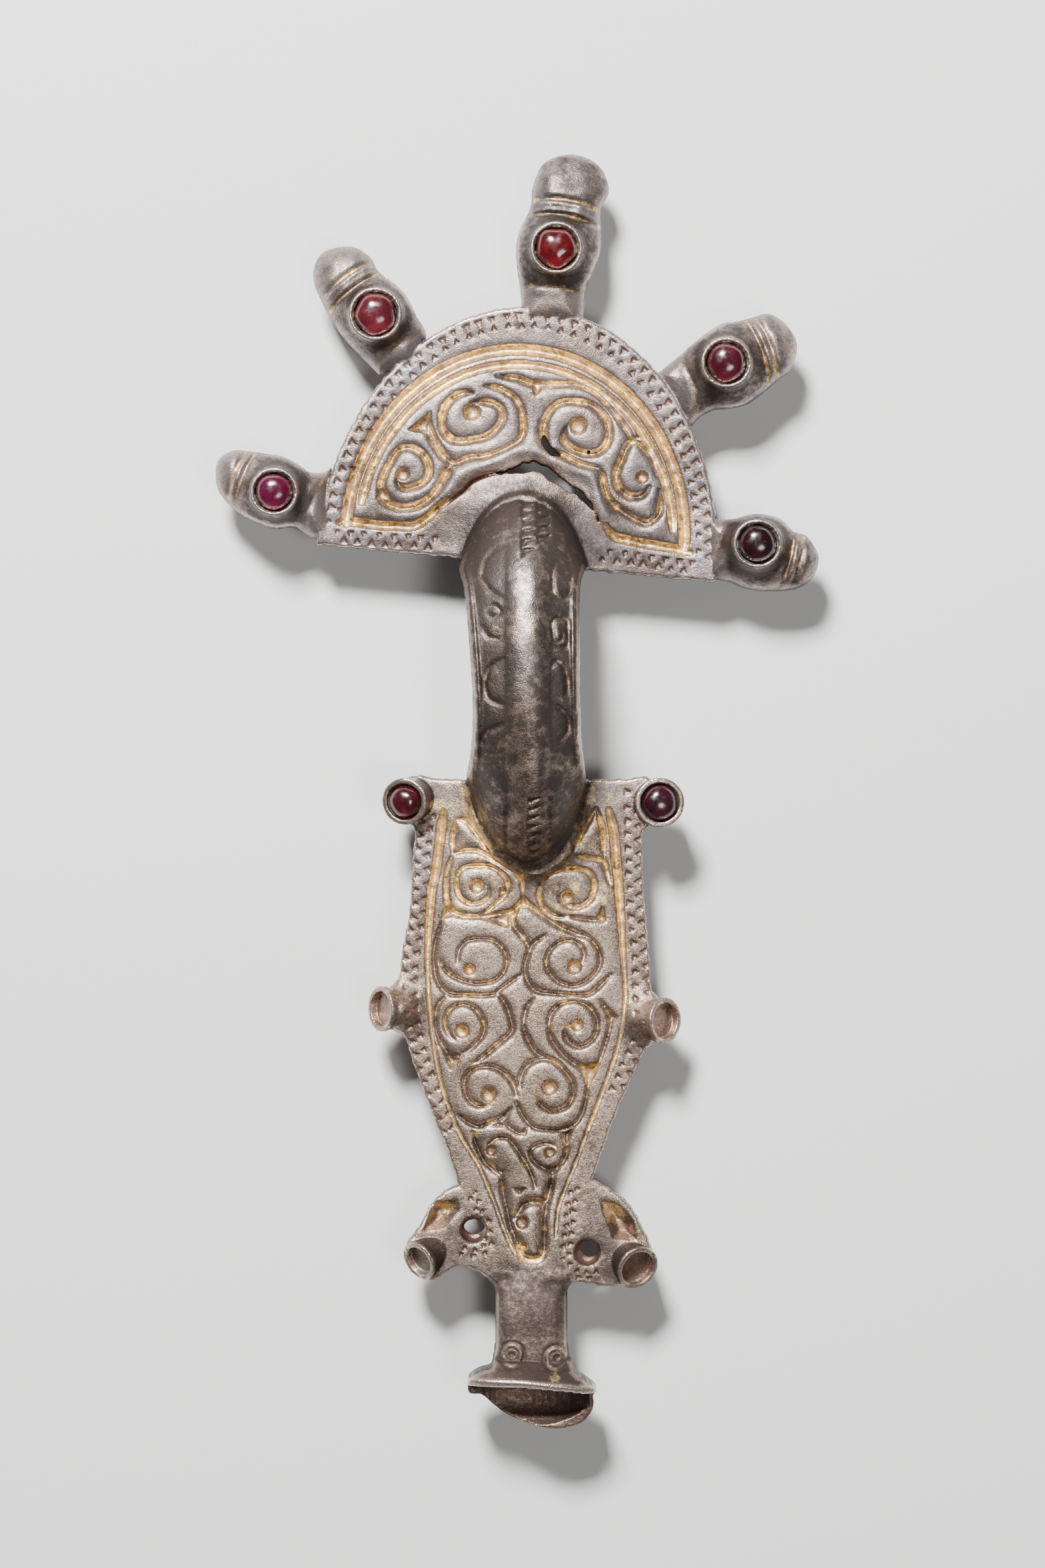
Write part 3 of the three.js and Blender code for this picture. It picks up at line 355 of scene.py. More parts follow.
def near_line(p, q, reach):
    """The plan's part round a straight piece, and the distances from it there."""
    area = around((p, q), reach)
    return area, to_segment(GX[area], GY[area], p, q)


def raise_to(plan_map, area, values):
    plan_map[area] = np.maximum(plan_map[area], values)


def inside(points, reach=3.0):
    """Plan map of the distance inside an outline: positive in it, negative outside."""
    area = around(points, reach)
    x, y = GX[area], GY[area]
    nearest = np.full(x.shape, FAR, np.float32)
    within = np.zeros(x.shape, bool)
    for p, q in zip(points, points[1:] + points[:1]):
        nearest = np.minimum(nearest, to_segment(x, y, p, q))
        if p[1] != q[1]:
            crossing = (y < p[1]) != (y < q[1])
            within ^= crossing & (x < p[0] + (y - p[1]) * (q[0] - p[0]) / (q[1] - p[1]))
    whole = np.full(GX.shape, -FAR, np.float32)
    whole[area] = np.where(within, nearest, -nearest)
    return whole


def rounded(depth_inside, radius):
    """How far a rounded rim falls below its flat top."""
    t = np.clip(1.0 - depth_inside / radius, 0.0, 1.0)
    return radius * (1.0 - np.sqrt(1.0 - np.minimum(t, 0.999) ** 2))


def soft_max(a, b, size):
    """The greater of two, with a fillet of about this size where they meet."""
    share = np.clip(0.5 + 0.5 * (a - b) / size, 0.0, 1.0)
    return b + (a - b) * share + size * share * (1.0 - share)


def blurred(plan_map, reach):
    """Mean of a plan map over a square of this half-width."""
    n = max(1, int(round(reach / STEP)))
    for axis in (0, 1):
        total = np.cumsum(plan_map, axis=axis, dtype=np.float64)
        ahead = np.roll(total, -n, axis=axis)
        behind = np.roll(total, n + 1, axis=axis)
        plan_map = ((ahead - behind) / (2 * n + 1)).astype(np.float32)
    return plan_map


def waves(x, y, seed, size):
    """Smooth uneven map between -1 and 1, from a few crossing waves."""
    rng = np.random.default_rng(seed)
    total = np.zeros(np.shape(x), np.float32)
    for _ in range(7):
        angle, phase = rng.uniform(0, 2 * math.pi, 2)
        length = size * rng.uniform(0.6, 1.7)
        total += np.sin((x * math.cos(angle) + y * math.sin(angle)) * 2 * math.pi / length + phase)
    return total / 4.5


# ---- carving maps -------------------------------------------------------------------
CUT = new_map()  # how deep the carving goes below the surface
GOLD = new_map()
CHANNEL_GOLD = new_map()
PUNCHED = new_map()
COPPER = new_map()
KNOB_GOLD = new_map()


def along_line(line, taper=1.6):
    """Each straight piece of a line, with how fully it is cut: less near the two ends."""
    lengths = [math.dist(p, q) for p, q in zip(line, line[1:])]
    total, run = sum(lengths), 0.0
    for p, q, length in zip(line, line[1:], lengths):
        middle = run + length / 2
        run += length
        yield p, q, min(1.0, 0.4 + 0.6 * min(middle, total - middle) / taper)


def carve_channel(line, width, narrowing=False):
    """Round-bottomed channel along a line; one may narrow down the foot."""
    for p, q, full in along_line(line):
        here = width * (0.5 + 0.5 * float(smoothstep(-24.0, -8.0, p[1]))) if narrowing else width
        half = 0.56 * here * (0.55 + 0.45 * full)
        area, away = near_line(p, q, half + 0.8)
        floor = np.clip(1.0 - (away / half) ** 2, 0.0, 1.0) ** 0.8
        raise_to(CUT, area, GROOVE_DEPTH * here * full * floor)
        raise_to(CHANNEL_GOLD, area, smoothstep(half + 0.12, half - 0.18, away))


def carve_groove(line, width):
    """V-shaped groove with crisp edges between two flat bands."""
    for p, q, full in along_line(line):
        half = 0.56 * (width + 0.08) * (0.5 + 0.5 * full)
        area, away = near_line(p, q, half + 1.0)
        slope = 1.0 - away / half
        shoulder = np.clip(1.0 - away / (half + 0.7), 0.0, 1.0) ** 2
        wall = 0.85 * (slope + np.sqrt(slope**2 + 0.03)) / 2 + 0.15 * shoulder
        raise_to(CUT, area, min(0.3 + 0.65 * width, 1.0) * full * wall)
        raise_to(GOLD, area, full * smoothstep(half + 0.15, half - 0.2, away))


def carve_band(line, width):
    """Narrow groove between two bands, whose tops round down into it."""
    depth = 0.35 + 0.42 * width
    for p, q, full in along_line(line):
        area, away = near_line(p, q, 2.2)
        edge = np.clip((away - 0.12 * width) / BAND_ROUND, 0.0, 1.0)
        fall = 0.72 * (1.0 - np.sqrt(1.0 - np.minimum(1.0 - edge, 0.9999) ** 2))
        fall = fall + 0.28 * np.clip(1 - away / (0.45 * width + 0.1), 0, 1)
        raise_to(CUT, area, depth * full * fall)
        raise_to(GOLD, area, full * smoothstep(0.5 * width + 0.35, 0.1 * width, away))


def press_pit(x, y, radius):
    area = box_area((x, y), radius + 1)
    away = np.hypot(GX[area] - x, GY[area] - y)
    wall = smoothstep(radius * 1.02, radius * 0.6, away)
    raise_to(CUT, area, PIT_DEPTH * wall)
    raise_to(GOLD, area, smoothstep(radius + 0.2, radius * 0.8, away))
    raise_to(CHANNEL_GOLD, area, 0.75 * smoothstep(radius + 0.1, radius * 0.7, away))
    raise_to(COPPER, area, 0.6 * smoothstep(radius, radius * 0.4, away))


def press_triangle(corners, depth, slope, cut, target, amount):
    """Three-cornered pit with sloping walls."""
    area = around(corners, 0.5)
    x, y = GX[area], GY[area]
    inner = np.full(x.shape, FAR, np.float32)
    turn = np.sign((corners[1][0] - corners[0][0]) * (corners[2][1] - corners[0][1])
                   - (corners[1][1] - corners[0][1]) * (corners[2][0] - corners[0][0]))
    for p, q in zip(corners, corners[1:] + corners[:1]):
        inner = np.minimum(inner, turn * beside(x, y, p, q))
    raise_to(cut, area, np.clip((inner + 0.05) * slope, 0.0, depth))
    raise_to(target, area, amount * smoothstep(-0.12, 0.1, inner))


def punch_row(line, pitch, size, phase, offset, point, seed, depth=0.24):
    """Row of small three-cornered punch marks beside a line, pointing to one side of it."""
    rng = np.random.default_rng(seed)
    lengths = [math.dist(p, q) for p, q in zip(line, line[1:])]
    place, run = pitch * phase, 0.0
    for (p, q), length in zip(zip(line, line[1:]), lengths):
        while place < run + length:
            t = (place - run) / length
            ux, uy = (q[0] - p[0]) / length, (q[1] - p[1]) / length
            wander = rng.uniform(-0.1, 0.1, 2)
            x = p[0] + (q[0] - p[0]) * t - uy * offset + wander[0]
            y = p[1] + (q[1] - p[1]) * t + ux * offset + wander[1]
            grown = size * rng.uniform(0.8, 1.12)
            reach = 0.52 * grown * point
            tip = (x - uy * reach, y + ux * reach)
            left = (x + uy * reach * 0.8 - ux * grown / 2, y - ux * reach * 0.8 - uy * grown / 2)
            right = (x + uy * reach * 0.8 + ux * grown / 2, y - ux * reach * 0.8 + uy * grown / 2)
            deep = depth * rng.uniform(0.7, 1.1)
            press_triangle([tip, left, right], deep, 2.0, PUNCHED, COPPER, rng.uniform(0.35, 1.0))
            place += pitch * rng.uniform(0.94, 1.06)
        run += length


def carve_bird_heads():
    """Sunk ring round each bird's eye, and the punch marks on their cheeks."""
    for x, y, radius in EYE_RINGS:
        area = box_area((x, y), 3)
        away = np.hypot(GX[area] - x, GY[area] - y)
        raise_to(CUT, area, 0.9 * smoothstep(radius + 0.15, radius - 0.45, away))
        raise_to(COPPER, area, 0.85 * smoothstep(radius + 0.1, radius - 0.3, away))
    for k, line in enumerate(CHEEK_LINES):
        punch_row(smooth_line(line), 1.3, 0.7, 0.3, 0.35, 1, 51 + k, 0.26)
        punch_row(smooth_line(line), 1.3, 0.7, 0.8, -0.5, -1, 61 + k, 0.26)
    for x, y, reach in CHEEK_COPPER:
        COPPER[:] = np.maximum(COPPER, 0.7 * blob(GX, GY, (x, y), reach))


def carve_everything():
    carve_bird_heads()
    for middle, half_width, height, tilt, width, cut_short in HEAD_FRAMES:
        line = half_ellipse(middle, half_width, height, tilt)
        carve_channel(line[cut_short:len(line) - cut_short], width)
    for middle, start, turn, radii, width in COILS:
        carve = carve_groove if middle[1] > BANDS_FROM else carve_band
        carve(coil_line(middle, start, turn, radii), width)
    for width, points in LINKS:
        if width == CHANNEL_WIDTH:
            carve_channel(smooth_line(points), width, narrowing=points[0][1] < 0.0)
        elif points[0][1] > BANDS_FROM or points[0][1] < BANDS_TO:
            carve_groove(smooth_line(points), width)
        else:
            carve_band(smooth_line(points), width)
    for p, q, full in along_line(smooth_line(CRACK), 2.5):
        area, away = near_line(p, q, 1.0)
        raise_to(CUT, area, 1.1 * full * np.clip(1.0 - away / 0.3, 0.0, 1.0))
        raise_to(COPPER, area, 0.7 * full * smoothstep(1.0, 0.2, away))
    COPPER[:] = np.maximum(COPPER, 0.55 * smoothstep(-0.75, -0.1, inside(TEAR, 2.0)))
    for x, y, radius in PITS:
        press_pit(x, y, radius)
    for corners in FACES:
        press_triangle(corners, 0.85, 0.75, CUT, GOLD, 1.0)
    for corners in HOLLOWS:
        press_triangle(corners, 0.75, 1.6, CUT, GOLD, 1.0)


def straight(p, q):
    return [(p[0] + (q[0] - p[0]) * k / 12, p[1] + (q[1] - p[1]) * k / 12) for k in range(13)]


def punch_borders():
    middle, half_width, height, tilt = HEAD
    rows = []
    for inset in BORDER_INSETS:
        rows.append(half_ellipse(middle, half_width - inset, height - inset, tilt)[2:-2])
    punch_row(rows[0], PUNCH_PITCH, 0.95, 0.2, 0.0, 1, 21)
    punch_row(rows[1], PUNCH_PITCH, 0.85, 0.65, 0.0, -1, 22)
    for start, end, seed in (((-22.2, 30.8), (-9.4, 29.9), 23), ((21.4, 27.0), (10.0, 28.6), 24)):
        side = 1 if start[0] < 0 else -1
        punch_row(straight(start, end), PUNCH_PITCH, 0.8, 0.3, 0.1 * side, -side, seed)
        punch_row(straight(start, end), PUNCH_PITCH, 0.9, 0.8, -0.85 * side, side, seed + 5)
    left = [(x + BORDER_INSETS[0], y) for x, y in smooth_line(FOOT_LEFT[:-1])]
    right = [(x - BORDER_INSETS[0], y) for x, y in smooth_line(FOOT_RIGHT[1:])]
    for line, seed in ((left, 31), (right, 33)):
        punch_row(line[3:-1], PUNCH_PITCH, 0.85, 0.2, 0.55, -1, seed, 0.25)
        punch_row(line[3:-1], PUNCH_PITCH, 0.85, 0.7, -0.55, 1, seed + 1, 0.25)


def punch_bow(y_from, y_to, x, count, gold):
    """Column of small notches up the middle of one end of the bow."""
    for k in range(count):
        y = y_from + (y_to - y_from) * k / (count - 1)
        area = box_area((x, y), 1)
        dx, dy = (GX[area] - x) / 0.75, (GY[area] - y) / 0.5
        pit = np.clip(1.4 - 1.4 * np.maximum(np.maximum(dy, -dx), 0.8 * (dx - dy)), 0.0, 1.0)
        raise_to(BOW_PUNCH, area, 0.5 * pit)
        raise_to(BOW_GOLD, area, gold * smoothstep(0.3, 0.8, pit))


# ---- height over the plates ---------------------------------------------------------
def raised_field(outline):
    return (FIELD - PLATE) * smoothstep(-1.0, 6.0, inside(outline, 9.0))


def foot_outline():
    left = smooth_line(FOOT_LEFT)
    beak_left = smooth_line([FOOT_LEFT[-1]] + BIRD_LEFT)[1:]
    beak_right = smooth_line(BIRD_RIGHT + [FOOT_RIGHT[0]])[:-1]
    return left + beak_left + beak_right + smooth_line(FOOT_RIGHT)


def foot_field_outline():
    left = [(x + FOOT_INSET, y) for x, y in FOOT_LEFT[1:-1]]
    right = [(x - FOOT_INSET, y) for x, y in FOOT_RIGHT[1:-1]]
    return smooth_line([(-10.2, -1.4)] + left + FOOT_TAIL + right + [(12.4, -1.4)])


def bow_fillet():
    """How the plates rise against the two ends of the bow: a low foot, and a wide hood at the head."""
    rise = 0.0
    for near, height, start, reach in ((GY < BOW_MIDDLE, 1.2, 0.6, 0.9), (GY > BOW_MIDDLE, 3.0, 3.2, 2.2)):
        rise = rise + near * height * np.exp(-np.maximum(start - BOW_SHAPE, 0.0) / reach)
    return rise


def head_ridge():
    """Where the head plate is bent up along its crack."""
    ridge = new_map()
    for p, q, full in along_line(smooth_line(HEAD_RIDGE), 4.0):
        area, away = near_line(p, q, 3.0)
        raise_to(ridge, area, RIDGE_HEIGHT * full * np.exp(-(away / 1.1) ** 2))
    return ridge


def groove_edges():
    """Thin lines along both sides of the gilded grooves."""
    gold = np.maximum(GOLD, CHANNEL_GOLD)
    line = 4.0 * gold * (1.0 - gold) * smoothstep(0.8, 0.5, gold)
    return line * (0.55 + 0.45 * waves(GX, GY, 5, 2.6))


def with_ears(form):
    """The plate's outline with a rounded ear grown out under each side cup."""
    for middle, radius, heading, lean, _ in CUPS.values():
        axis = leaning_axis(heading, lean)
        away = np.hypot(GX - middle[0] + 2.2 * axis[0], GY - middle[1] + 2.2 * axis[1])
        form = soft_max(form, 0.9 * radius - away, 2.4)
    return form


def plate_form():
    """Top height and inside distance of the two plates, carving included."""
    head = inside(half_ellipse(*HEAD))
    foot = inside(foot_outline())
    form = with_ears(np.maximum(head, foot)) + 0.1 * waves(GX, GY, 6, 1.0)
    top = PLATE + raised_field(half_ellipse(*HEAD_FIELD)) + raised_field(foot_field_outline())
    top = top + 0.05 * waves(GX, GY, 3, 5.0) + bow_fillet() + head_ridge()
    root = smoothstep(9.6, 8.2, np.abs(GX - 0.9)) * (smoothstep(26.0, 27.5, GY) + smoothstep(3.0, 1.0, GY))
    root = root * smoothstep(-13.0, -11.5, GY)
    top = top + root * (soft_max(top, bow_form()[0], 2.6) - top)
    for name in ("side_left", "side_right"):
        middle, _, heading, lean, _ = CUPS[name]
        axis = leaning_axis(heading, lean)
        top = top + 2.4 * blob(GX, GY, (middle[0] - 2.9 * axis[0], middle[1] - 2.9 * axis[1]), 2.1)
    around_cuts = blurred(blurred(CUT, 0.45), 0.45)
    carved = np.minimum(0.9 * CUT + BAND_SWELL * around_cuts, CUT_LIMIT)
    top = top + TAIL_RISE * smoothstep(-45.0, -57.5, GY)
    floors = 0.13 * waves(GX, GY, 4, 0.85) * np.minimum(CUT, 0.5)
    return top - carved - PUNCHED + floors + BURR * groove_edges() - rounded(form, EDGE_ROUND), form


def knob_frame(place, heading):
    angle = math.radians(heading)
    dx, dy = GX - place[0], GY - place[1]
    return dx * math.cos(angle) + dy * math.sin(angle), -dx * math.sin(angle) + dy * math.cos(angle)


def bump(value, middle, width):
    return np.exp(-(((value - middle) / width) ** 2))


def knob_form(outline, place, heading, stone, foot, grooves):
    """Top of a knob: a rounded bar with soft bands, and a volcano-like mound that holds the stone."""
    form = inside(smooth_line(outline))
    along, across = knob_frame(place, heading)
    dome = np.sqrt(1.0 - np.clip(1.0 - form / 3.6, 0.0, 1.0) ** 2)
    height = KNOB_HEIGHT * (1.0 - 0.3 * smoothstep(6.5, 10.5, along))
    height = height * (1.0 - 0.2 * smoothstep(-3.5, -6.0, along))
    top = 0.3 + height * dome
    near, far = grooves
    bend = along + 0.03 * across**2
    band = smoothstep(near, near + 0.4, bend) * smoothstep(far, far - 0.4, bend)
    groove = bump(bend, near, 0.32) + bump(bend, far, 0.36) + 0.7 * bump(bend, -4.5, 0.4)
    top += dome * (0.22 * band - 0.42 * groove - 0.12 * bump(bend, (near + far) / 2, 0.2))
    top += 0.12 * waves(GX, GY, 41, 3.0) * smoothstep(0.2, 1.2, form)
    area = form > -0.3
    raise_to(KNOB_GOLD, area, (0.8 * np.clip(groove, 0, 1) * (dome > 0.35))[area])
    away = np.hypot(along, across)
    rim = stone + 0.8
    slope = np.clip((foot + 0.5 - away) / (foot + 0.5 - rim), 0.0, 1.0)
    mound = 1.6 + (MOUND_TOP - 1.6) * slope**1.15 - 0.15 * bump(away, rim + 0.55, 0.25)
    top = soft_max(top, np.where(away < foot + 0.5, mound, 0.0), 0.9)
    top = np.minimum(top, MOUND_TOP - 0.35 * smoothstep(rim - 0.1, rim + 0.5, away))
    top = np.where(away < stone + 0.47, MOUND_TOP - 0.45, top)
    top = np.where(away < stone + 0.25, MOUND_TOP - CUP_FLOOR, top)
    return top - rounded(form, 0.3), form


# ---- the bow ------------------------------------------------------------------------
def arch(y, middle, half_span, rise):
    away = np.minimum(np.abs((y - middle) / half_span), 1.0)
    return rise * (1.0 - away**ARCH_POWER) ** ARCH_ROUND


BOW_LEFT = [(0.6, 37.0), (-3.6, 34.8), (-5.6, 31.0), (-7.3, 27.6), (-6.4, 24.0), (-5.8, 18.0), (-5.3, 10.0),
            (-5.6, 4.4), (-6.3, 0.6), (-5.6, -4.0), (-2.6, -8.6), (1.4, -10.6)]
BOW_RIGHT = [(4.8, -9.8), (7.2, -6.0), (8.1, 0.6), (7.6, 5.4), (7.4, 10.0), (7.3, 18.0), (7.4, 24.0),
             (8.1, 27.4), (6.9, 31.6), (4.4, 35.4)]
# Each end of the bow, foot then head: middle x, half width, reach from the bow's middle, squareness.
BOW_ENDS = ((1.2, 8.4, 23.2, 2.1), (0.6, 9.2, 22.9, 2.2))
BOW_ROLL = 2.1  # how far the bow's top rolls down to its sides
RIB = (-1.3, 3.7)
PANEL_REACH = (1.6, 28.0)
PANEL_DEPTH = 0.5
# Worn scrolls on the sunk panels: the places that each runs through.
BOW_SCROLLS = [
    [(-1.8, 28.9), (-3.1, 28.1), (-4.1, 26.5), (-4.2, 24.9), (-3.1, 23.4), (-1.7, 22.5)],
    [(-4.1, 19.1), (-3.4, 18.0), (-2.2, 17.7), (-1.4, 18.5)],
    [(-3.6, 21.2), (-2.8, 21.7), (-2.1, 21.0), (-2.8, 20.3), (-3.5, 20.7)],
    [(-1.7, 15.4), (-3.3, 14.3), (-3.9, 12.4), (-3.4, 10.8), (-1.8, 10.0)],
    [(-1.7, 7.6), (-3.4, 7.0), (-4.1, 5.7), (-3.0, 4.7)],
    [(-4.2, 4.3), (-1.8, 4.4)],
    [(4.7, 28.4), (5.7, 27.4), (6.3, 25.8)],
    [(4.4, 26.8), (4.1, 25.2), (4.2, 23.3), (5.2, 22.5), (6.2, 23.6), (6.3, 25.5)],
    [(3.9, 17.0), (5.7, 16.9), (5.9, 18.5), (5.7, 20.1), (4.2, 20.0), (4.1, 18.5), (4.4, 17.5), (5.2, 17.7),
     (5.2, 18.8)],
    [(3.7, 14.3), (4.6, 15.1), (5.5, 14.3), (5.9, 12.7), (5.7, 11.1)],
    [(3.6, 10.2), (4.7, 9.8), (5.8, 8.6), (6.0, 7.3), (5.0, 5.7)],
    [(3.6, 3.1), (5.0, 3.1), (6.0, 1.8), (5.7, 0.6)],
]
BOW_SHAPE = inside(smooth_line(BOW_LEFT + BOW_RIGHT), 6.0)
BOW_CUT = new_map()
BOW_GOLD = new_map()
BOW_PUNCH = new_map()


def carve_bow():
    for points in BOW_SCROLLS:
        for p, q, full in along_line(smooth_line(points)):
            area, away = near_line(p, q, 1.0)
            raise_to(BOW_CUT, area, 0.34 * full * np.clip(1 - away / 0.48, 0, 1))
            raise_to(BOW_GOLD, area, 0.5 * full * smoothstep(0.5, 0.15, away))
    punch_bow(34.2, 28.2, 1.0, 6, 0.45)
    punch_bow(34.6, 29.8, 2.8, 5, 0.45)
    punch_bow(-1.2, -7.4, 1.5, 7, 0.25)


def bow_end(middle_x, half_width, reach, squareness):
    """How far each place is towards one end of the bow: 1 on the end's own outline."""
    across = np.clip(np.abs(GX - middle_x) / half_width, 0.0, 0.995)
    return np.abs(GY - BOW_MIDDLE) / (reach * (1.0 - across**squareness) ** (1 / squareness))


def bow_form():
    """Rounded arch with a rib between sunk panels, running down to the plates at both ends."""
    form = BOW_SHAPE
    towards = np.where(GY < BOW_MIDDLE, bow_end(*BOW_ENDS[0]), bow_end(*BOW_ENDS[1]))
    across = np.clip((GX - 1.1) / 6.4, -1.0, 1.0)
    crown = BOW_RISE + RIB_HEIGHT - BOW_ROLL * np.abs(across) ** 2.0
    along = smoothstep(PANEL_REACH[0] - 4.0, PANEL_REACH[0] + 2.0, GY)
    along = along * smoothstep(PANEL_REACH[1] + 4.0, PANEL_REACH[1] - 1.0, GY)
    rib = smoothstep(RIB[0] - 0.45, RIB[0] + 0.1, GX) * smoothstep(RIB[1] + 0.45, RIB[1] - 0.1, GX)
    panels = smoothstep(0.75, 1.25, form) * (1.0 - rib)
    crown = crown - PANEL_DEPTH * panels * along - 0.2 * (1.0 - rib) * smoothstep(0.0, 0.6, along)
    crown = crown + 0.06 * waves(GX, GY, 5, 4.0)
    crown = crown - 0.55 * rib * ((GX - 1.2) / 2.5) ** 2
    top = crown * (1.0 - np.minimum(towards, 1.0) ** ARCH_POWER) ** ARCH_ROUND
    top = top - 0.8 * rounded(form, 1.0) * smoothstep(-1.0, 3.0, GY) * smoothstep(28.0, 24.0, GY)
    return np.maximum(top, 0.2) - BOW_CUT * along - BOW_PUNCH, form


# ---- filling the volume -------------------------------------------------------------
def level(z):
    return int(np.clip(round((z - float(ZS[0])) / STEP), 0, len(ZS)))


VOLUME = np.full((len(XS), len(YS), len(ZS)), -FAR, np.float32)
HEIGHT = new_map()  # the top of all that is a height map


def join_to(part, solid):
    np.maximum(part, solid, out=part)


def cut_from(part, solid):
    np.minimum(part, -solid, out=part)


def add_heights(top, form, area, z_top, below=0.0):
    """Joins to the volume what lies under a height map and inside a plan outline."""
    span = np.s_[level(below - 1.0):level(z_top + 0.8)]
    z = ZS[span]
    raise_to(HEIGHT, area, np.where(form[area] > 0.0, top[area], 0.0))
    block = np.minimum(top[area][..., None] - z, form[area][..., None])
    block = np.minimum(block, z - below)
    join_to(VOLUME[area][..., span], block)


def leaning_axis(heading, lean):
    h, t = math.radians(heading), math.radians(lean)
    return np.array([math.sin(t) * math.cos(h), math.sin(t) * math.sin(h), math.cos(t)])


def local_frame(middle, axis, reach):
    """A block of the volume round a place, with its distance along and from an axis."""
    area = box_area(middle, reach)
    span = np.s_[level(middle[2] - reach):level(middle[2] + reach)]
    x = GX[area][..., None] - middle[0]
    y = GY[area][..., None] - middle[1]
    z = ZS[span] - middle[2]
    along = x * axis[0] + y * axis[1] + z * axis[2]
    return area, span, x, y, z, along


def add_cup(middle, radius, heading, lean, stone):
    axis = leaning_axis(heading, lean)
    area, span, x, y, z, along = local_frame(middle, axis, CUP_REACH + radius)
    away = np.sqrt(np.maximum(x * x + y * y + z * z - along**2, 0.0))
    wall = radius * (0.93 + 0.07 * smoothstep(-1.0, -0.5, along)) - away
    body = np.minimum(np.minimum(wall, -along), along + (CUP_REACH if stone else EMPTY_REACH))
    body = np.minimum(body, ZS[span])
    mouth = np.minimum(radius - 0.6 - away, along + (0.45 if stone else EMPTY_FLOOR))
    socket = np.minimum(stone + 0.25 - away, along + CUP_FLOOR)
    hollow = np.maximum(mouth, socket) if stone else mouth
    part = VOLUME[area][..., span]
    join_to(part, body)
    cut_from(part, np.where(along > -CUP_FLOOR - 1, hollow, -FAR))


def eye_relief():
    """Ring-and-dot eyes of the snout."""
    relief = new_map()
    for x, y in EYES:
        away = np.hypot(GX - x, GY - y)
        relief += 0.13 * bump(away, 1.1, 0.2) - 0.2 * bump(away, 1.5, 0.22) - 0.1 * bump(away, 0.75, 0.2)
        relief -= 0.28 * smoothstep(0.5, 0.25, away)
    return relief


def add_shaft():
    """Flat-topped stem between the bird heads and the snout, with a ring-and-dot eye on each side."""
    half = SHAFT_HALF * (1.0 + 0.5 * smoothstep(-60.2, -57.0, GY) + 0.09 * smoothstep(-66.0, -69.5, GY))
    away = np.clip(np.abs(GX - SHAFT_X) / half, 0.0, 1.0)
    height = PLATE - 0.5 + (SHAFT_HEIGHT - PLATE + 0.5) * smoothstep(-52.0, -63.5, GY)
    top = height * (1.0 - away**6.0) ** 0.5
    top = top + 0.025 * waves(GX * 0.2, GY, 44, 0.8) - 0.05 * bump(GY, -65.3, 0.25)
    for x, y, reach in SHAFT_DENTS:
        top = top - 0.55 * blob(GX, 1.6 * GY, (x, 1.6 * y), reach)
    top = top + eye_relief()
    form = np.minimum(half - np.abs(GX - SHAFT_X), np.minimum(SHAFT_FROM - GY, GY - SHAFT_TO))
    add_heights(top, form, patch(-6, 9, SHAFT_TO - 1, SHAFT_FROM + 1), 6.0)


def rim_line(x):
    """Where the snout's upper rim runs across it."""
    return RIM_Y - 0.65 * smoothstep(-1.0, 8.0, x) - 0.35 * smoothstep(5.0, 9.5, x)


def add_mouth():
    """Flared snout: a rolled rim across the top, and a broken scoop of a lower lip below it."""
    form = inside(smooth_line(MOUTH_OUTLINE))
    past = rim_line(GX) - GY
    flare = SHAFT_HEIGHT - 0.5 + (RIM_TOP - SHAFT_HEIGHT + 0.5) * smoothstep(-3.8, -0.4, past) ** 1.15
    across = np.clip(np.abs(GX - SHAFT_X) / 8.4, 0.0, 1.0)
    flare = (flare + 0.45 * bump(past, -0.3, 0.45)) * np.sqrt(1.0 - 0.62 * across**2.4) + eye_relief()
    lip = LIP_TOP + 0.12 * waves(GX, GY, 45, 1.1)
    top = np.where(past < 0.3, flare, lip) - rounded(form, 0.35)
    area = patch(-7, 10.5, -77.3, -67.0)
    add_heights(top, form, area, 8.2)
    middle, radii = CAVITY
    x = (GX[area][..., None] - middle[0]) / radii[0]
    y = (GY[area][..., None] - middle[1]) / radii[1]
    z = (ZS - middle[2]) / radii[2]
    striations = 0.02 * np.sin(9.0 * GX[area] + 2.0 * np.sin(2.3 * GX[area]))[..., None]
    hollow = (1.0 - np.sqrt(x * x + y * y + z * z)) * min(radii) + striations
    cut_from(VOLUME[area], hollow)
    HEIGHT[area] = np.where((past[area] > 0.3) & (form[area] > 0), LIP_TOP - 1.2, HEIGHT[area])


def side_polygon(points, span):
    """Inside distance of a convex side view, given anticlockwise in y and z."""
    y, z = YS[:, None], ZS[span][None, :]
    best = np.full((len(YS), z.shape[1]), FAR, np.float32)
    for p, q in zip(points, points[1:] + points[:1]):
        best = np.minimum(best, beside(y, z, p, q))
    return best


def add_slab(points, x, thick, hole=None):
    span = np.s_[0:level(1.5)]
    view = side_polygon(points, span)
    if hole:
        view = np.minimum(view, np.hypot(YS[:, None] - hole[0], ZS[span][None, :] - hole[1]) - hole[2])
    columns = np.nonzero(np.abs(XS - x) < thick + 1)[0]
    wide = (thick / 2 - np.abs(XS[columns] - x))[:, None, None]
    join_to(VOLUME[columns[0]:columns[-1] + 1, :, span], np.minimum(view[None], wide))


def add_fittings():
    """Two lugs for the spring's axle behind the head, and the catch behind the foot."""
    for x in LUG_XS:
        add_slab(LUG_SIDE, x, LUG_THICK, AXLE_HOLE)
    add_slab(CATCH_SIDE, CATCH_X, CATCH_THICK)
    add_slab(HOOK_SIDE, HOOK_X, HOOK_WIDTH)


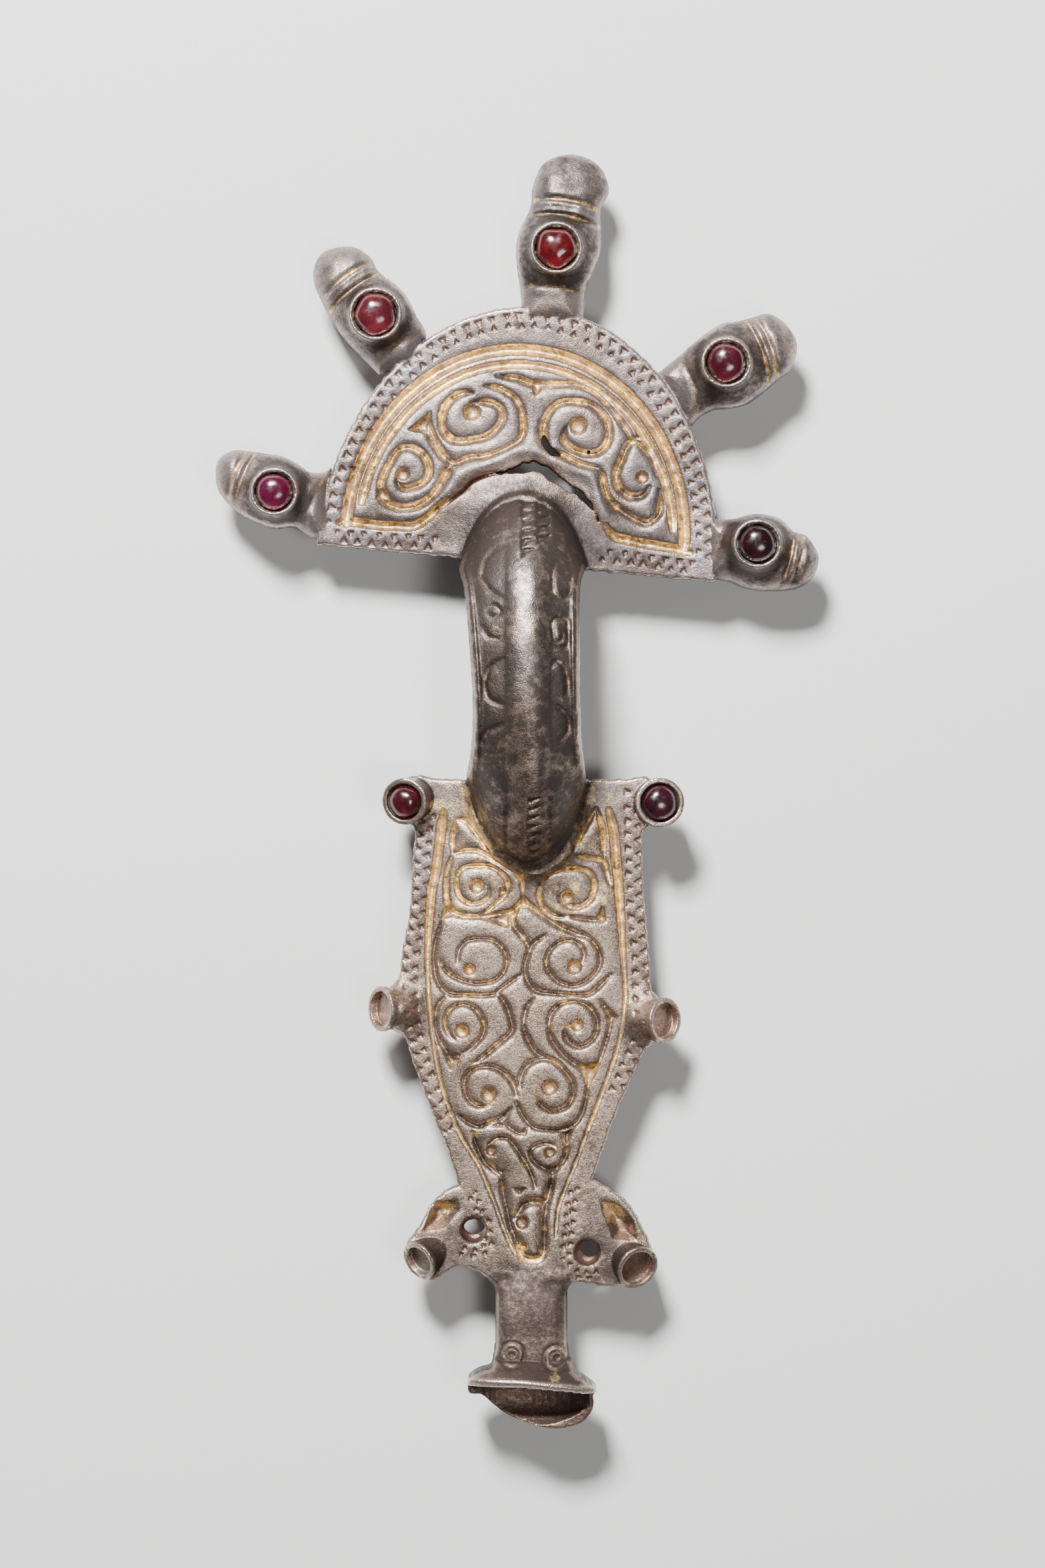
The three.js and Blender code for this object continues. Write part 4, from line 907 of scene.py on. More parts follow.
def cut_through(outline_map):
    area = np.nonzero(outline_map > -1.5)
    i0, i1, j0, j1 = area[0].min(), area[0].max() + 1, area[1].min(), area[1].max() + 1
    cut_from(VOLUME[i0:i1, j0:j1], outline_map[i0:i1, j0:j1][..., None])


def add_bow():
    """The arch with the open gap below it and the channel behind it."""
    top, form = bow_form()
    gap = arch(GY, GAP_MIDDLE, GAP_HALF_SPAN, GAP_RISE)
    gap = np.where(np.abs(GY - GAP_MIDDLE) < GAP_HALF_SPAN, gap, -1.0)
    area = patch(-9, 10, -12, 38)
    span = np.s_[level(-1.0):len(ZS)]
    z = ZS[span]
    block = np.minimum(np.minimum(top[area][..., None] - z, form[area][..., None]), z - gap[area][..., None])
    block = np.minimum(block, z)
    raise_to(HEIGHT, area, np.where(form[area] > 0.0, top[area], 0.0))
    part = VOLUME[area][..., span]
    join_to(part, block)
    low, high, half_span, rise = CHANNEL
    channel = arch(GY, BOW_MIDDLE, half_span, rise)[area][..., None] - z
    wide = np.minimum(GX - low, high - GX)[area][..., None]
    reach = (half_span - np.abs(GY - BOW_MIDDLE))[area][..., None]
    cut_from(part, np.minimum(np.minimum(channel, wide), reach))


def cut_damage():
    """Tear, slit and hole in the head plate, and the bird heads' open eyes."""
    cut_through(inside(TEAR, 2.0) + 0.16 * waves(GX, GY, 47, 1.1))
    cut_through(inside(SLIT, 2.0) + 0.2 + 0.1 * waves(GX, GY, 48, 0.9))
    x, y, radius = PIN_HOLE
    cut_through(radius - np.hypot(GX - x, GY - y))
    for x, y, rx, ry in BIRD_EYES:
        cut_through((1.0 - np.hypot((GX - x) / rx, (GY - y) / ry)) * min(rx, ry))


def fill_volume():
    carve_everything()
    punch_borders()
    carve_bow()
    whole = np.s_[:, :]
    top, form = plate_form()
    add_heights(top, form, whole, 4.0)
    for name, (outline, place, heading, stone, foot) in KNOBS.items():
        top, form = knob_form(outline, place, heading, stone, foot, KNOB_GROOVES[name])
        add_heights(top, form, box_area(place, 14), 6.0)
    add_shaft()
    for cup in CUPS.values():
        add_cup(*cup)
    add_mouth()
    add_bow()
    cut_damage()
    add_fittings()


# ---- mesh ---------------------------------------------------------------------------
def new_object(name, data):
    thing = bpy.data.objects.new(name, data)
    bpy.context.scene.collection.objects.link(thing)
    return thing


def body_mesh():
    """The volume's surface as one closed mesh in metres, thinned where it is flat."""
    band = 3 * STEP
    grid = openvdb.FloatGrid(band)
    grid.copyFromArray(np.ascontiguousarray(np.clip(-VOLUME, -band, band)))
    points, triangles, quads = grid.convertToPolygons(isovalue=0.0, adaptivity=0.0)
    origin = np.array([XS[0], YS[0], ZS[0] + BACK])
    points = (points * STEP + origin) * MM
    mesh = bpy.data.meshes.new("cast_body_fine")
    mesh.from_pydata(points.tolist(), [], quads.tolist() + triangles.tolist())
    mesh.update()
    full = new_object("cast_body_full", mesh)
    thin = full.modifiers.new("thin", "DECIMATE")
    thin.ratio = min(1.0, MOST_TRIANGLES / (2 * len(quads)))
    thin.use_collapse_triangulate = True
    shaped = bpy.data.meshes.new_from_object(full.evaluated_get(bpy.context.evaluated_depsgraph_get()))
    bpy.data.objects.remove(full)
    shaped.shade_smooth()
    return shaped


def sampled(plan_map, x, y):
    """Values of a plan map at places between its grid points."""
    u = np.clip((x - XS[0]) / STEP, 0, len(XS) - 1.001)
    v = np.clip((y - YS[0]) / STEP, 0, len(YS) - 1.001)
    i, j = u.astype(int), v.astype(int)
    fu, fv = u - i, v - j
    low = plan_map[i, j] * (1 - fu) + plan_map[i + 1, j] * fu
    high = plan_map[i, j + 1] * (1 - fu) + plan_map[i + 1, j + 1] * fu
    return low * (1 - fv) + high * fv


def paint_attribute(mesh, name, values):
    layer = mesh.attributes.new(name, "FLOAT", "POINT")
    layer.data.foreach_set("value", np.ascontiguousarray(values, np.float32))


def blob(x, y, middle, reach):
    return np.exp(-((x - middle[0]) ** 2 + (y - middle[1]) ** 2) / reach**2)


def on_bow(x, y, height):
    low = np.where(y > BOW_MIDDLE, smoothstep(2.6, 6.5, height), smoothstep(3.2, 4.6, height))
    return low * smoothstep(9.5, 8.5, np.abs(x)) * smoothstep(-11.0, -9.0, y) * smoothstep(38.0, 36.0, y)


def spots_of(x, y, spots):
    """Sum of soft round spots, each with its middle, reach and amount."""
    return sum(amount * blob(x, y, middle, reach) for middle, reach, amount in spots)


MORE_GILT = (((0.6, -55.9), 1.5, 0.6), ((11.4, -50.4), 1.3, 1.0), ((-9.0, -49.6), 1.6, 0.35),
             ((-8.5, -26.4), 1.6, 0.2), ((9.2, -33.2), 1.5, 0.3))
GILT_EDGES = (((-6.5, 0.2), (-5.6, -3.6)), ((-5.6, -3.6), (-3.4, -7.2)), ((-10.0, -2.0), (-9.0, -2.4)))
GILT_ON_SNOUT = (((4.4, -70.0), 0.8, 0.9), ((5.1, -66.9), 0.9, 0.6))


def gilding(x, y, up, height):
    """How gilded each place is: most in the frames and at the top of the foot."""
    upper_foot = smoothstep(-17.5, -13.5, y) * smoothstep(4.0, 0.0, y)
    head = smoothstep(26.0, 29.0, y)
    bow = on_bow(x, y, height)
    region = 0.42 + 0.5 * upper_foot + 0.36 * head * (1.0 - 0.4 * smoothstep(6.0, 14.0, x))
    amount = sampled(GOLD, x, y) * (region + spots_of(x, y, MORE_GILT))
    amount = np.maximum(amount, (1.05 - 0.3 * smoothstep(-36.0, -46.0, y)) * sampled(CHANNEL_GOLD, x, y))
    for p, q in GILT_EDGES:
        amount = np.maximum(amount, 0.85 * smoothstep(1.1, 0.3, to_segment(x, y, p, q)))
    amount = np.maximum(amount, 0.45 * upper_foot * smoothstep(12.0, 10.0, np.abs(x - 1.2)))
    fine_lines = sampled(groove_edges(), x, y) * (0.85 + 0.3 * waves(x, y, 18, 5.0))
    amount = np.maximum(amount, fine_lines * smoothstep(30.0, 20.0, y))
    amount = amount * smoothstep(5.0, 4.2, height)
    amount = np.maximum(amount, spots_of(x, y, GILT_ON_SNOUT))
    on_knobs = 0.9 * sampled(KNOB_GOLD, x, y) * smoothstep(24.0, 26.0, y) * (1 - bow)
    amount = np.maximum(amount, on_knobs)
    return np.maximum(amount, sampled(BOW_GOLD, x, y) * bow) * smoothstep(-0.05, 0.2, up)


# Places that are darker: middle, reach, amount.
TARNISHED = (((-0.4, 41.0), 15.0, 0.12), ((-20.5, 38.0), 7.0, 0.3), ((21.5, 38.0), 6.0, 0.3),
             ((-15.0, 29.5), 6.0, 0.2), ((15.0, 28.0), 5.0, 0.1), ((-9.5, 0.5), 4.0, 0.1),
             ((11.0, -1.5), 4.0, 0.1), ((1.5, 31.5), 4.0, 0.3), ((9.5, -0.5), 3.5, 0.25),
             ((-9.0, 0.5), 3.0, 0.15), ((-8.5, -54.0), 4.0, 0.42), ((11.5, -55.0), 4.5, 0.38))


def knob_tarnish_and_painted_light(x, y):
    """Darker round the stones and lighter on the necks; each tip lightened or darkened on its own, partly as
    painted light and shade for how the key lamp falls on it.
    """
    dark = 0.0
    for name, (_, place, heading, stone, foot) in KNOBS.items():
        angle = math.radians(heading)
        away = np.hypot(x - place[0], y - place[1])
        ring = smoothstep(foot + 1.0, foot - 0.6, away) * smoothstep(stone + 0.5, stone + 1.1, away)
        inward = (place[0] - x) * math.cos(angle) + (place[1] - y) * math.sin(angle)
        neck = smoothstep(foot - 0.6, foot + 0.6, inward) * smoothstep(foot + 5.0, foot + 3.5, away)
        tip = (place[0] + 1.6 * foot * math.cos(angle), place[1] + 1.6 * foot * math.sin(angle))
        dark = dark + 0.5 * ring - 0.3 * neck + TIP_TARNISH_AND_PAINTED_LIGHT[name] * blob(x, y, tip, 2.8)
    return dark


def snout_tarnish_and_shade(x, y):
    """Darker in the mouth and along the stem, with painted shade on the flare and on the stem's middle."""
    mouth = in_mouth(x, y)
    dark = 0.5 * mouth * (1.0 - 0.5 * smoothstep(-72.5, -75.5, y))
    dark = dark + 0.2 * smoothstep(-56.0, -59.0, y) * (1.0 - mouth)
    # Painted shade on the flare above the rim.
    past = rim_line(x) - y
    flare = smoothstep(-3.6, -3.0, past) * smoothstep(-0.3, -0.75, past)
    dark = dark + 0.15 * flare * smoothstep(-66.0, -68.0, y)
    # Darker along the stem: tarnished, and painted shade that damps the key lamp's highlight on its middle.
    return dark + 0.34 * bump(y, -62.0, 4.5) * smoothstep(9.0, 6.0, np.abs(x))


def tarnish_and_shade_amount(x, y, up, height):
    """Darkening, partly painted shade: tarnished on the bow and round the knobs' stones; painted shade on
    steep faces and where the plates rise against the bow's ends; lighter round the side cups.
    """
    bow = on_bow(x, y, height)
    dark = 0.40 + 0.16 * waves(x, y, 11, 13.0) + 0.13 * waves(x, y, 12, 4.0)
    # Tarnished on the bow; the extra darkening beside the rib is also painted shade that damps the key
    # lamp's highlight on the panels.
    dark = dark + 0.3 * bow + 0.22 * bow * smoothstep(2.3, 2.9, np.abs(x - 1.2))
    dark = dark + 0.3 * smoothstep(0.0, 5.0, y - 3.0) * smoothstep(34.0, 24.0, y)
    dark = dark + knob_tarnish_and_painted_light(x, y) + snout_tarnish_and_shade(x, y) + spots_of(x, y, TARNISHED)
    dark = dark + 0.04 * smoothstep(-34.0, -44.0, y) + 0.12 * smoothstep(-45.0, -52.0, y)
    # Painted shade: faces that turn away from straight up are darker.
    dark = dark + 0.25 * smoothstep(0.85, 0.35, up)
    # Painted shade where the plates rise against the bow's ends, damping the key lamp's highlight there.
    dark = dark + 0.38 * smoothstep(0.2, 1.2, sampled(bow_fillet(), x, y)) * (1.0 - bow)
    # Painted light: lighter round the side cups, taking the painted shade back off their steep walls.
    for name in ("side_left", "side_right"):
        middle, radius = CUPS[name][:2]
        away = np.hypot(x - middle[0], y - middle[1])
        dark = dark - 0.4 * smoothstep(radius + 1.8, radius + 0.6, away)
    across = smoothstep(13.0, 10.0, np.abs(x - 1.0))
    return dark - 0.3 * smoothstep(-13.0, -17.0, y) * smoothstep(-44.0, -36.0, y) * across


def in_mouth(x, y):
    return smoothstep(0.2, 0.9, rim_line(x) - y) * smoothstep(-67.0, -69.0, y)


def in_settings(x, y, height):
    """The pale putty that shows round each stone on the knobs."""
    pale = np.zeros(x.shape, np.float32)
    for _, place, _, stone, _ in KNOBS.values():
        away = np.hypot(x - place[0], y - place[1])
        pale = np.maximum(pale, smoothstep(stone + 0.62, stone + 0.42, away) * smoothstep(3.4, 4.0, height))
    return pale


def in_cups(x, y, z):
    """Maps of the side cups: empty insides, green corrosion, rims, and putty round a stone."""
    inner, green, rims, putty = (np.zeros(x.shape, np.float32) for _ in range(4))
    for name, (middle, radius, heading, lean, stone) in CUPS.items():
        axis = leaning_axis(heading, lean)
        dx, dy, dz = x - middle[0], y - middle[1], z - middle[2]
        along = dx * axis[0] + dy * axis[1] + dz * axis[2]
        away = np.sqrt(np.maximum(dx * dx + dy * dy + dz * dz - along**2, 0.0))
        here = smoothstep(radius - 0.25, radius - 0.55, away) * smoothstep(0.0, -0.3, along) * (along > -3.0)
        inner = np.maximum(inner, 0.0 if stone else here)
        if name == "beak_left":
            green = np.maximum(green, here * smoothstep(-0.2, 0.5, waves(x, y, 46, 1.6)))
        on_rim = (away < radius + 0.3) * (away > radius - 1.0)
        rims = np.maximum(rims, smoothstep(-0.35, -0.1, along) * on_rim)
        bedding = smoothstep(radius - 0.55, radius - 0.7, away) * smoothstep(-1.2, -0.9, along)
        bedding = bedding * (along < 0.1)
        putty = np.maximum(putty, bedding if stone else 0.0)
    return inner, green, rims, putty


VIOLET_SPOTS = tuple((middle, 4.0, 0.4) for middle in (
    (-25.5, 34.6), (-15.2, 50.6), (22.5, 29.5), (1.5, 24.0), (1.5, 15.0), (-12.5, -8.0), (-15.5, 54.0),
    (3.0, 68.0), (-21.0, 29.0), (10.5, -0.5), (19.5, 39.0), (-5.0, -56.0)))


def vertex_values(mesh, kind):
    values = np.empty(len(mesh.vertices) * 3, np.float32)
    mesh.vertices.foreach_get(kind, values)
    return values.reshape(-1, 3)


def rubbed_and_highlit_places(x, y, height, facing, rims):
    """Rubbed places, some with a painted highlight: crests, cup rims and the grooves' edges are rubbed; the
    bow's rib and the upper lip are rubbed and carry a painted highlight, and one spot in the head's outer
    channel is a painted highlight.
    """
    # Along the bow's rib: rubbed, and a painted highlight, strongest towards the head end.
    rib = smoothstep(2.2, 0.6, np.abs(x - 0.9)) * smoothstep(7.0, 12.0, height)
    rib = rib * (0.3 + 0.3 * smoothstep(12.0, 20.0, y)) * smoothstep(29.0, 25.0, y)
    crest = np.clip(-1.3 * sampled(blurred(HEIGHT, 0.4) - HEIGHT, x, y) * facing, 0.0, 0.6)
    # Along the snout's rim: rubbed, and a painted highlight.
    lip = bump(rim_line(x) - y, -0.2, 0.42) * smoothstep(-67.0, -69.0, y) * smoothstep(3.5, 4.5, height)
    edges = sampled(groove_edges(), x, y) * facing * smoothstep(6.0, 4.5, height)
    polish_and_highlight = 0.75 * rib + crest * (1.0 - in_mouth(x, y)) + lip + 0.5 * rims + 0.2 * edges
    # The spot at (-9.0, 50.4) is a painted highlight on the gilding of the head's outer channel.
    return np.clip(polish_and_highlight + 0.4 * blob(x, y, (-9.0, 50.4), 3.0), 0.0, 1.0)


def mottling(x, y, height):
    """How patchy the darkening is: most on the head's outer parts and the bow, least on the stem."""
    stem = smoothstep(-55.5, -58.5, y) * smoothstep(-69.5, -68.0, y)
    outer = smoothstep(28.5, 31.0, np.hypot(x + 0.2, y - 30.0)) * smoothstep(15.0, 20.0, y)
    return 0.9 + 0.6 * outer - 0.6 * stem + 0.9 * on_bow(x, y, height) + 0.6 * in_mouth(x, y)


def paint_body(mesh):
    x, y, z = vertex_values(mesh, "co").T / MM
    up = vertex_values(mesh, "normal")[:, 2]
    height = z - BACK
    facing = smoothstep(-0.1, 0.25, up)
    inner, green, rims, putty = in_cups(x, y, height)
    copper = sampled(COPPER, x, y) * facing * smoothstep(6.5, 4.5, height)
    # Painted shade: darker in recesses, by how far the surface lies below its surroundings, and a little
    # lighter on crests.
    hollow = sampled(blurred(HEIGHT, 0.5) - HEIGHT, x, y) * facing
    tarnish_and_shade = tarnish_and_shade_amount(x, y, up, height) + 0.95 * np.clip(hollow, -0.12, 0.5)
    violet = 0.2 + 0.4 * smoothstep(14.0, 28.0, y) + 0.35 * waves(x, y, 15, 9.0)
    violet = violet + spots_of(x, y, VIOLET_SPOTS) - 0.3 * smoothstep(-12.0, -18.0, y)
    paint_attribute(mesh, "gilding", gilding(x, y, up, height))
    paint_attribute(mesh, "copper", np.maximum(copper, np.maximum(0.5 * inner, 0.3 * in_mouth(x, y))))
    paint_attribute(mesh, "pale", np.maximum(in_settings(x, y, height), putty))
    paint_attribute(mesh, "green", green)
    paint_attribute(mesh, "tarnish_and_shade", np.clip(tarnish_and_shade, 0.0, 1.3))
    paint_attribute(mesh, "polish_and_highlight", rubbed_and_highlit_places(x, y, height, facing, rims))
    paint_attribute(mesh, "mottle", mottling(x, y, height))
    paint_attribute(mesh, "violet", np.clip(violet, 0.0, 1.0))


# ---- materials ----------------------------------------------------------------------
class Look:
    """One material's shader nodes, added and joined by short calls."""

    def __init__(self, name):
        self.material = bpy.data.materials.new(name)
        self.material.use_nodes = True
        self.nodes = self.material.node_tree.nodes
        self.links = self.material.node_tree.links
        self.shader = self.nodes["Principled BSDF"]

    def feed(self, sockets, values):
        for socket, value in zip(sockets, values):
            if isinstance(value, (int, float)):
                socket.default_value = value
            elif isinstance(value, tuple):
                socket.default_value = (*value, 1.0)
            else:
                self.links.new(value, socket)

    def join(self, value, name):
        self.links.new(value, self.shader.inputs[name])

    def noise(self, scale, detail=4.0, roughness=0.6):
        place = self.nodes.new("ShaderNodeNewGeometry")
        noise = self.nodes.new("ShaderNodeTexNoise")
        noise.inputs["Scale"].default_value = scale
        noise.inputs["Detail"].default_value = detail
        noise.inputs["Roughness"].default_value = roughness
        self.links.new(place.outputs["Position"], noise.inputs["Vector"])
        return noise.outputs["Fac"]

    def attribute(self, name):
        node = self.nodes.new("ShaderNodeAttribute")
        node.attribute_name = name
        return node.outputs["Fac"]

    def maths(self, operation, a, b):
        node = self.nodes.new("ShaderNodeMath")
        node.operation = operation
        self.feed(node.inputs, (a, b))
        return node.outputs[0]

    def add(self, first, *others):
        for other in others:
            first = self.maths("ADD", first, other)
        return first

    def times(self, a, b):
        return self.maths("MULTIPLY", a, b)

    def ramp(self, value, low, high, to_low=0.0, to_high=1.0):
        node = self.nodes.new("ShaderNodeMapRange")
        self.feed(node.inputs, (value, low, high, to_low, to_high))
        return node.outputs["Result"]

    def clamped(self, value):
        return self.ramp(value, 0.0, 1.0)

    def mix(self, factor, a, b):
        node = self.nodes.new("ShaderNodeMix")
        node.data_type = "RGBA"
        self.feed((node.inputs[0], node.inputs[6], node.inputs[7]), (factor, a, b))
        return node.outputs[2]


SILVER = (0.44, 0.33, 0.262)
SILVER_GREY = (0.31, 0.262, 0.245)
SILVER_RUBBED_AND_HIGHLIT = (0.70, 0.58, 0.50)
ROSE = (0.48, 0.33, 0.25)
SILVER_DULL = (0.17, 0.12, 0.092)
TARNISH_AND_SHADE_COLOUR = (0.060, 0.046, 0.040)
VIOLET = (0.21, 0.195, 0.275)
GOLD_COLOUR = (0.98, 0.69, 0.30)
GOLD_DARK = (0.21, 0.135, 0.07)
COPPER_COLOUR = (0.36, 0.20, 0.145)
PUTTY = (0.42, 0.40, 0.31)
DUST = (0.34, 0.20, 0.22)
VERDIGRIS = (0.19, 0.25, 0.20)
METALLIC = 0.88
BUMP_DEPTH = 0.00009  # metres


def silver_colour(look, grain, specks, patches, clouds):
    """Bare metal before it darkens: dull and bright grains, with grey and violet casts."""
    violet = look.attribute("violet")
    dull = look.add(look.ramp(clouds, 0.35, 0.65, 0.0, 0.5), look.ramp(specks, 0.42, 0.6, -0.22, 0.48),
                    look.ramp(grain, 0.38, 0.62, -0.5, 0.7))
    colour = look.mix(look.clamped(dull), SILVER, SILVER_DULL)
    colour = look.mix(look.times(violet, look.ramp(clouds, 0.3, 0.6, 0.5, 1.0)), colour, SILVER_GREY)
    return look.mix(look.times(violet, look.ramp(patches, 0.45, 0.66, 0.0, 0.7)), colour, VIOLET)


def gold_colour(look, grain, specks, blotches, dark):
    """Gilding, browned by wear in specks and blotches and by the painted shade in recesses that dark
    carries, rosy in places.
    """
    worn_and_shaded = look.add(look.ramp(specks, 0.4, 0.62, -0.2, 0.36), look.ramp(dark, 0.6, 1.2, 0.0, 0.8),
                    look.ramp(blotches, 0.4, 0.62, -0.25, 0.6), look.ramp(grain, 0.4, 0.6, -0.2, 0.2))
    gold = look.mix(look.clamped(worn_and_shaded), GOLD_COLOUR, GOLD_DARK)
    return look.mix(look.ramp(look.noise(420, 3.0), 0.47, 0.62, 0.0, 0.7), gold, ROSE)


def silver_gilt():
    look = Look("silver_gilt")
    grain = look.noise(6200, 2.0)
    specks = look.noise(2100, 4.0, 0.7)
    patches = look.noise(620, 5.0, 0.68)
    clouds = look.noise(130)
    blotches = look.noise(900, 4.0, 0.7)
    polish_and_highlight = look.attribute("polish_and_highlight")
    mottle = look.attribute("mottle")
    spread = look.times(mottle, look.ramp(patches, 0.3, 0.7, -0.35, 0.35))
    # dark holds the tarnished darkening together with the painted shade in recesses and on steep faces;
    # rubbing and painted highlights take it away.
    dark = look.add(look.attribute("tarnish_and_shade"), spread, look.ramp(specks, 0.35, 0.65, -0.12, 0.12))
    dark = look.maths("SUBTRACT", dark, polish_and_highlight)
    colour = silver_colour(look, grain, specks, patches, clouds)
    colour = look.mix(look.ramp(dark, 0.1, 1.0, 0.0, 0.93), colour, TARNISH_AND_SHADE_COLOUR)
    # Lighter where rubbed, and lighter still where a highlight is painted.
    colour = look.mix(look.ramp(polish_and_highlight, 0.35, 1.0, 0.0, 0.75), colour, SILVER_RUBBED_AND_HIGHLIT)
    gilt = look.add(look.attribute("gilding"), look.ramp(patches, 0.3, 0.7, -0.42, 0.42))
    colour = look.mix(look.ramp(gilt, 0.45, 0.8), colour, gold_colour(look, grain, specks, blotches, dark))
    stain = look.times(look.attribute("copper"), look.ramp(patches, 0.3, 0.6, 0.25, 0.9))
    colour = look.mix(stain, colour, COPPER_COLOUR)
    colour = look.mix(look.attribute("pale"), colour, PUTTY)
    corroded = look.times(look.attribute("green"), look.ramp(blotches, 0.35, 0.6, 0.3, 1.0))
    look.join(look.mix(corroded, colour, VERDIGRIS), "Base Color")
    look.shader.inputs["Metallic"].default_value = METALLIC
    rough = look.maths("SUBTRACT", look.ramp(specks, 0.35, 0.65, 0.34, 0.50), look.times(polish_and_highlight, 0.2))
    look.join(look.add(rough, look.ramp(mottle, 0.3, 0.9, 0.16, 0.0), look.ramp(dark, 0.6, 1.2, 0.0, 0.07)),
              "Roughness")
    bumps = look.nodes.new("ShaderNodeBump")
    bumps.inputs["Strength"].default_value = 0.5
    bumps.inputs["Distance"].default_value = BUMP_DEPTH
    relief = look.add(grain, look.times(specks, 1.1), look.times(patches, 1.5))
    look.links.new(relief, bumps.inputs["Height"])
    look.join(bumps.outputs["Normal"], "Normal")
    return look.material


GARNET_IOR = 1.7


def garnet_material(name, colour):
    """Dark see-through stone with a little dust; a lighter red is painted on its side away from the key
    lamp, a painted light standing in for light gathered inside it.
    """
    look = Look(name)
    specks = look.noise(1500)
    clouds = look.noise(420, 3.0)
    deep, middle = tuple(0.2 * c for c in colour), tuple(0.55 * c for c in colour)
    # bright is painted light: a lighter red for the stone's side away from the key lamp.
    bright = tuple(min(1.0, 2.6 * 0.55 * c) for c in colour)
    body = look.mix(look.ramp(clouds, 0.35, 0.65, 0.0, 0.8), middle, deep)
    body = look.mix(look.attribute("painted_glow"), body, bright)
    look.join(look.mix(look.ramp(specks, 0.60, 0.72, 0.0, 0.14), body, DUST), "Base Color")
    look.join(look.ramp(specks, 0.35, 0.7, 0.14, 0.30), "Roughness")
    look.shader.inputs["IOR"].default_value = GARNET_IOR
    look.shader.inputs["Transmission Weight"].default_value = 0.55
    return look.material


FLOOR_COLOUR = (0.80, 0.80, 0.79, 1.0)


def floor_material():
    look = Look("floor")
    look.shader.inputs["Base Color"].default_value = FLOOR_COLOUR
    look.shader.inputs["Roughness"].default_value = 0.8
    return look.material


# ---- garnets ------------------------------------------------------------------------
# Profile of a stone: share of its radius, and height over its seat.
STONE_RINGS = ((1.0, 0.35), (1.0, 1.0), (0.985, 1.25), (0.93, 1.6), (0.83, 1.95), (0.68, 2.25), (0.48, 2.45),
               (0.25, 2.56))
STONE_TOP = 2.6
STONE_SIDES = 48


def cabochon(name, radius, seat, colour, seed, uneven=1.0):
    """Domed stone, a little out of round, on its girdle."""
    rings, sides = STONE_RINGS, STONE_SIDES
    rng = np.random.default_rng(seed)
    lobes = [(k, rng.uniform(0, 6.28), uneven * rng.uniform(0.006, 0.02)) for k in (2, 3, 5)]
    points = [Vector((0, 0, rings[0][1]))]
    for share, height in rings:
        for k in range(sides):
            angle = 2 * math.pi * k / sides
            r = radius * share * (1 + sum(size * math.sin(n * angle + phase) for n, phase, size in lobes))
            points.append(Vector((r * math.cos(angle), r * math.sin(angle), height)))
    points.append(Vector((0, 0, STONE_TOP)))
    faces = [(0, 1 + (k + 1) % sides, 1 + k) for k in range(sides)]
    for ring in range(len(rings) - 1):
        for k in range(sides):
            a, b = 1 + ring * sides + k, 1 + ring * sides + (k + 1) % sides
            faces.append((a, b, b + sides, a + sides))
    top, last = len(points) - 1, 1 + (len(rings) - 1) * sides
    faces += [(last + k, last + (k + 1) % sides, top) for k in range(sides)]
    mesh = bpy.data.meshes.new(name)
    to_seat = seat @ Matrix.Translation((0, 0, -CUP_FLOOR))
    mesh.from_pydata([(to_seat @ p) * MM for p in points], [], faces)
    mesh.shade_smooth()
    # Painted light: how much lighter each point of the stone is painted, most on its side away from the key
    # lamp.
    painted_glow = [smoothstep(0.35, 0.95, (0.15 * p.x - p.y) / radius) for p in points]
    paint_attribute(mesh, "painted_glow", np.array(painted_glow))
    mesh.materials.append(garnet_material(name, colour))
    stone = new_object(name + "_stone", mesh)
    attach(stone, "root")
    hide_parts(name)


def seat_matrix(middle, heading, lean):
    axis = Vector(leaning_axis(heading, lean))
    turn = Vector((0, 0, 1)).rotation_difference(axis).to_matrix().to_4x4()
    return Matrix.Translation((middle[0], middle[1], middle[2] + BACK)) @ turn


GARNET_COLOURS = {
    "garnet_knob_1": (0.27, 0.006, 0.07), "garnet_knob_2": (0.33, 0.03, 0.055),
    "garnet_knob_3": (0.30, 0.008, 0.018), "garnet_knob_4": (0.20, 0.010, 0.035),
    "garnet_knob_5": (0.055, 0.006, 0.012), "garnet_corner_left": (0.17, 0.010, 0.024),
    "garnet_corner_right": (0.10, 0.010, 0.030),
}
UNEVEN_STONES = {"knob_2": 1.5, "knob_3": 1.9}


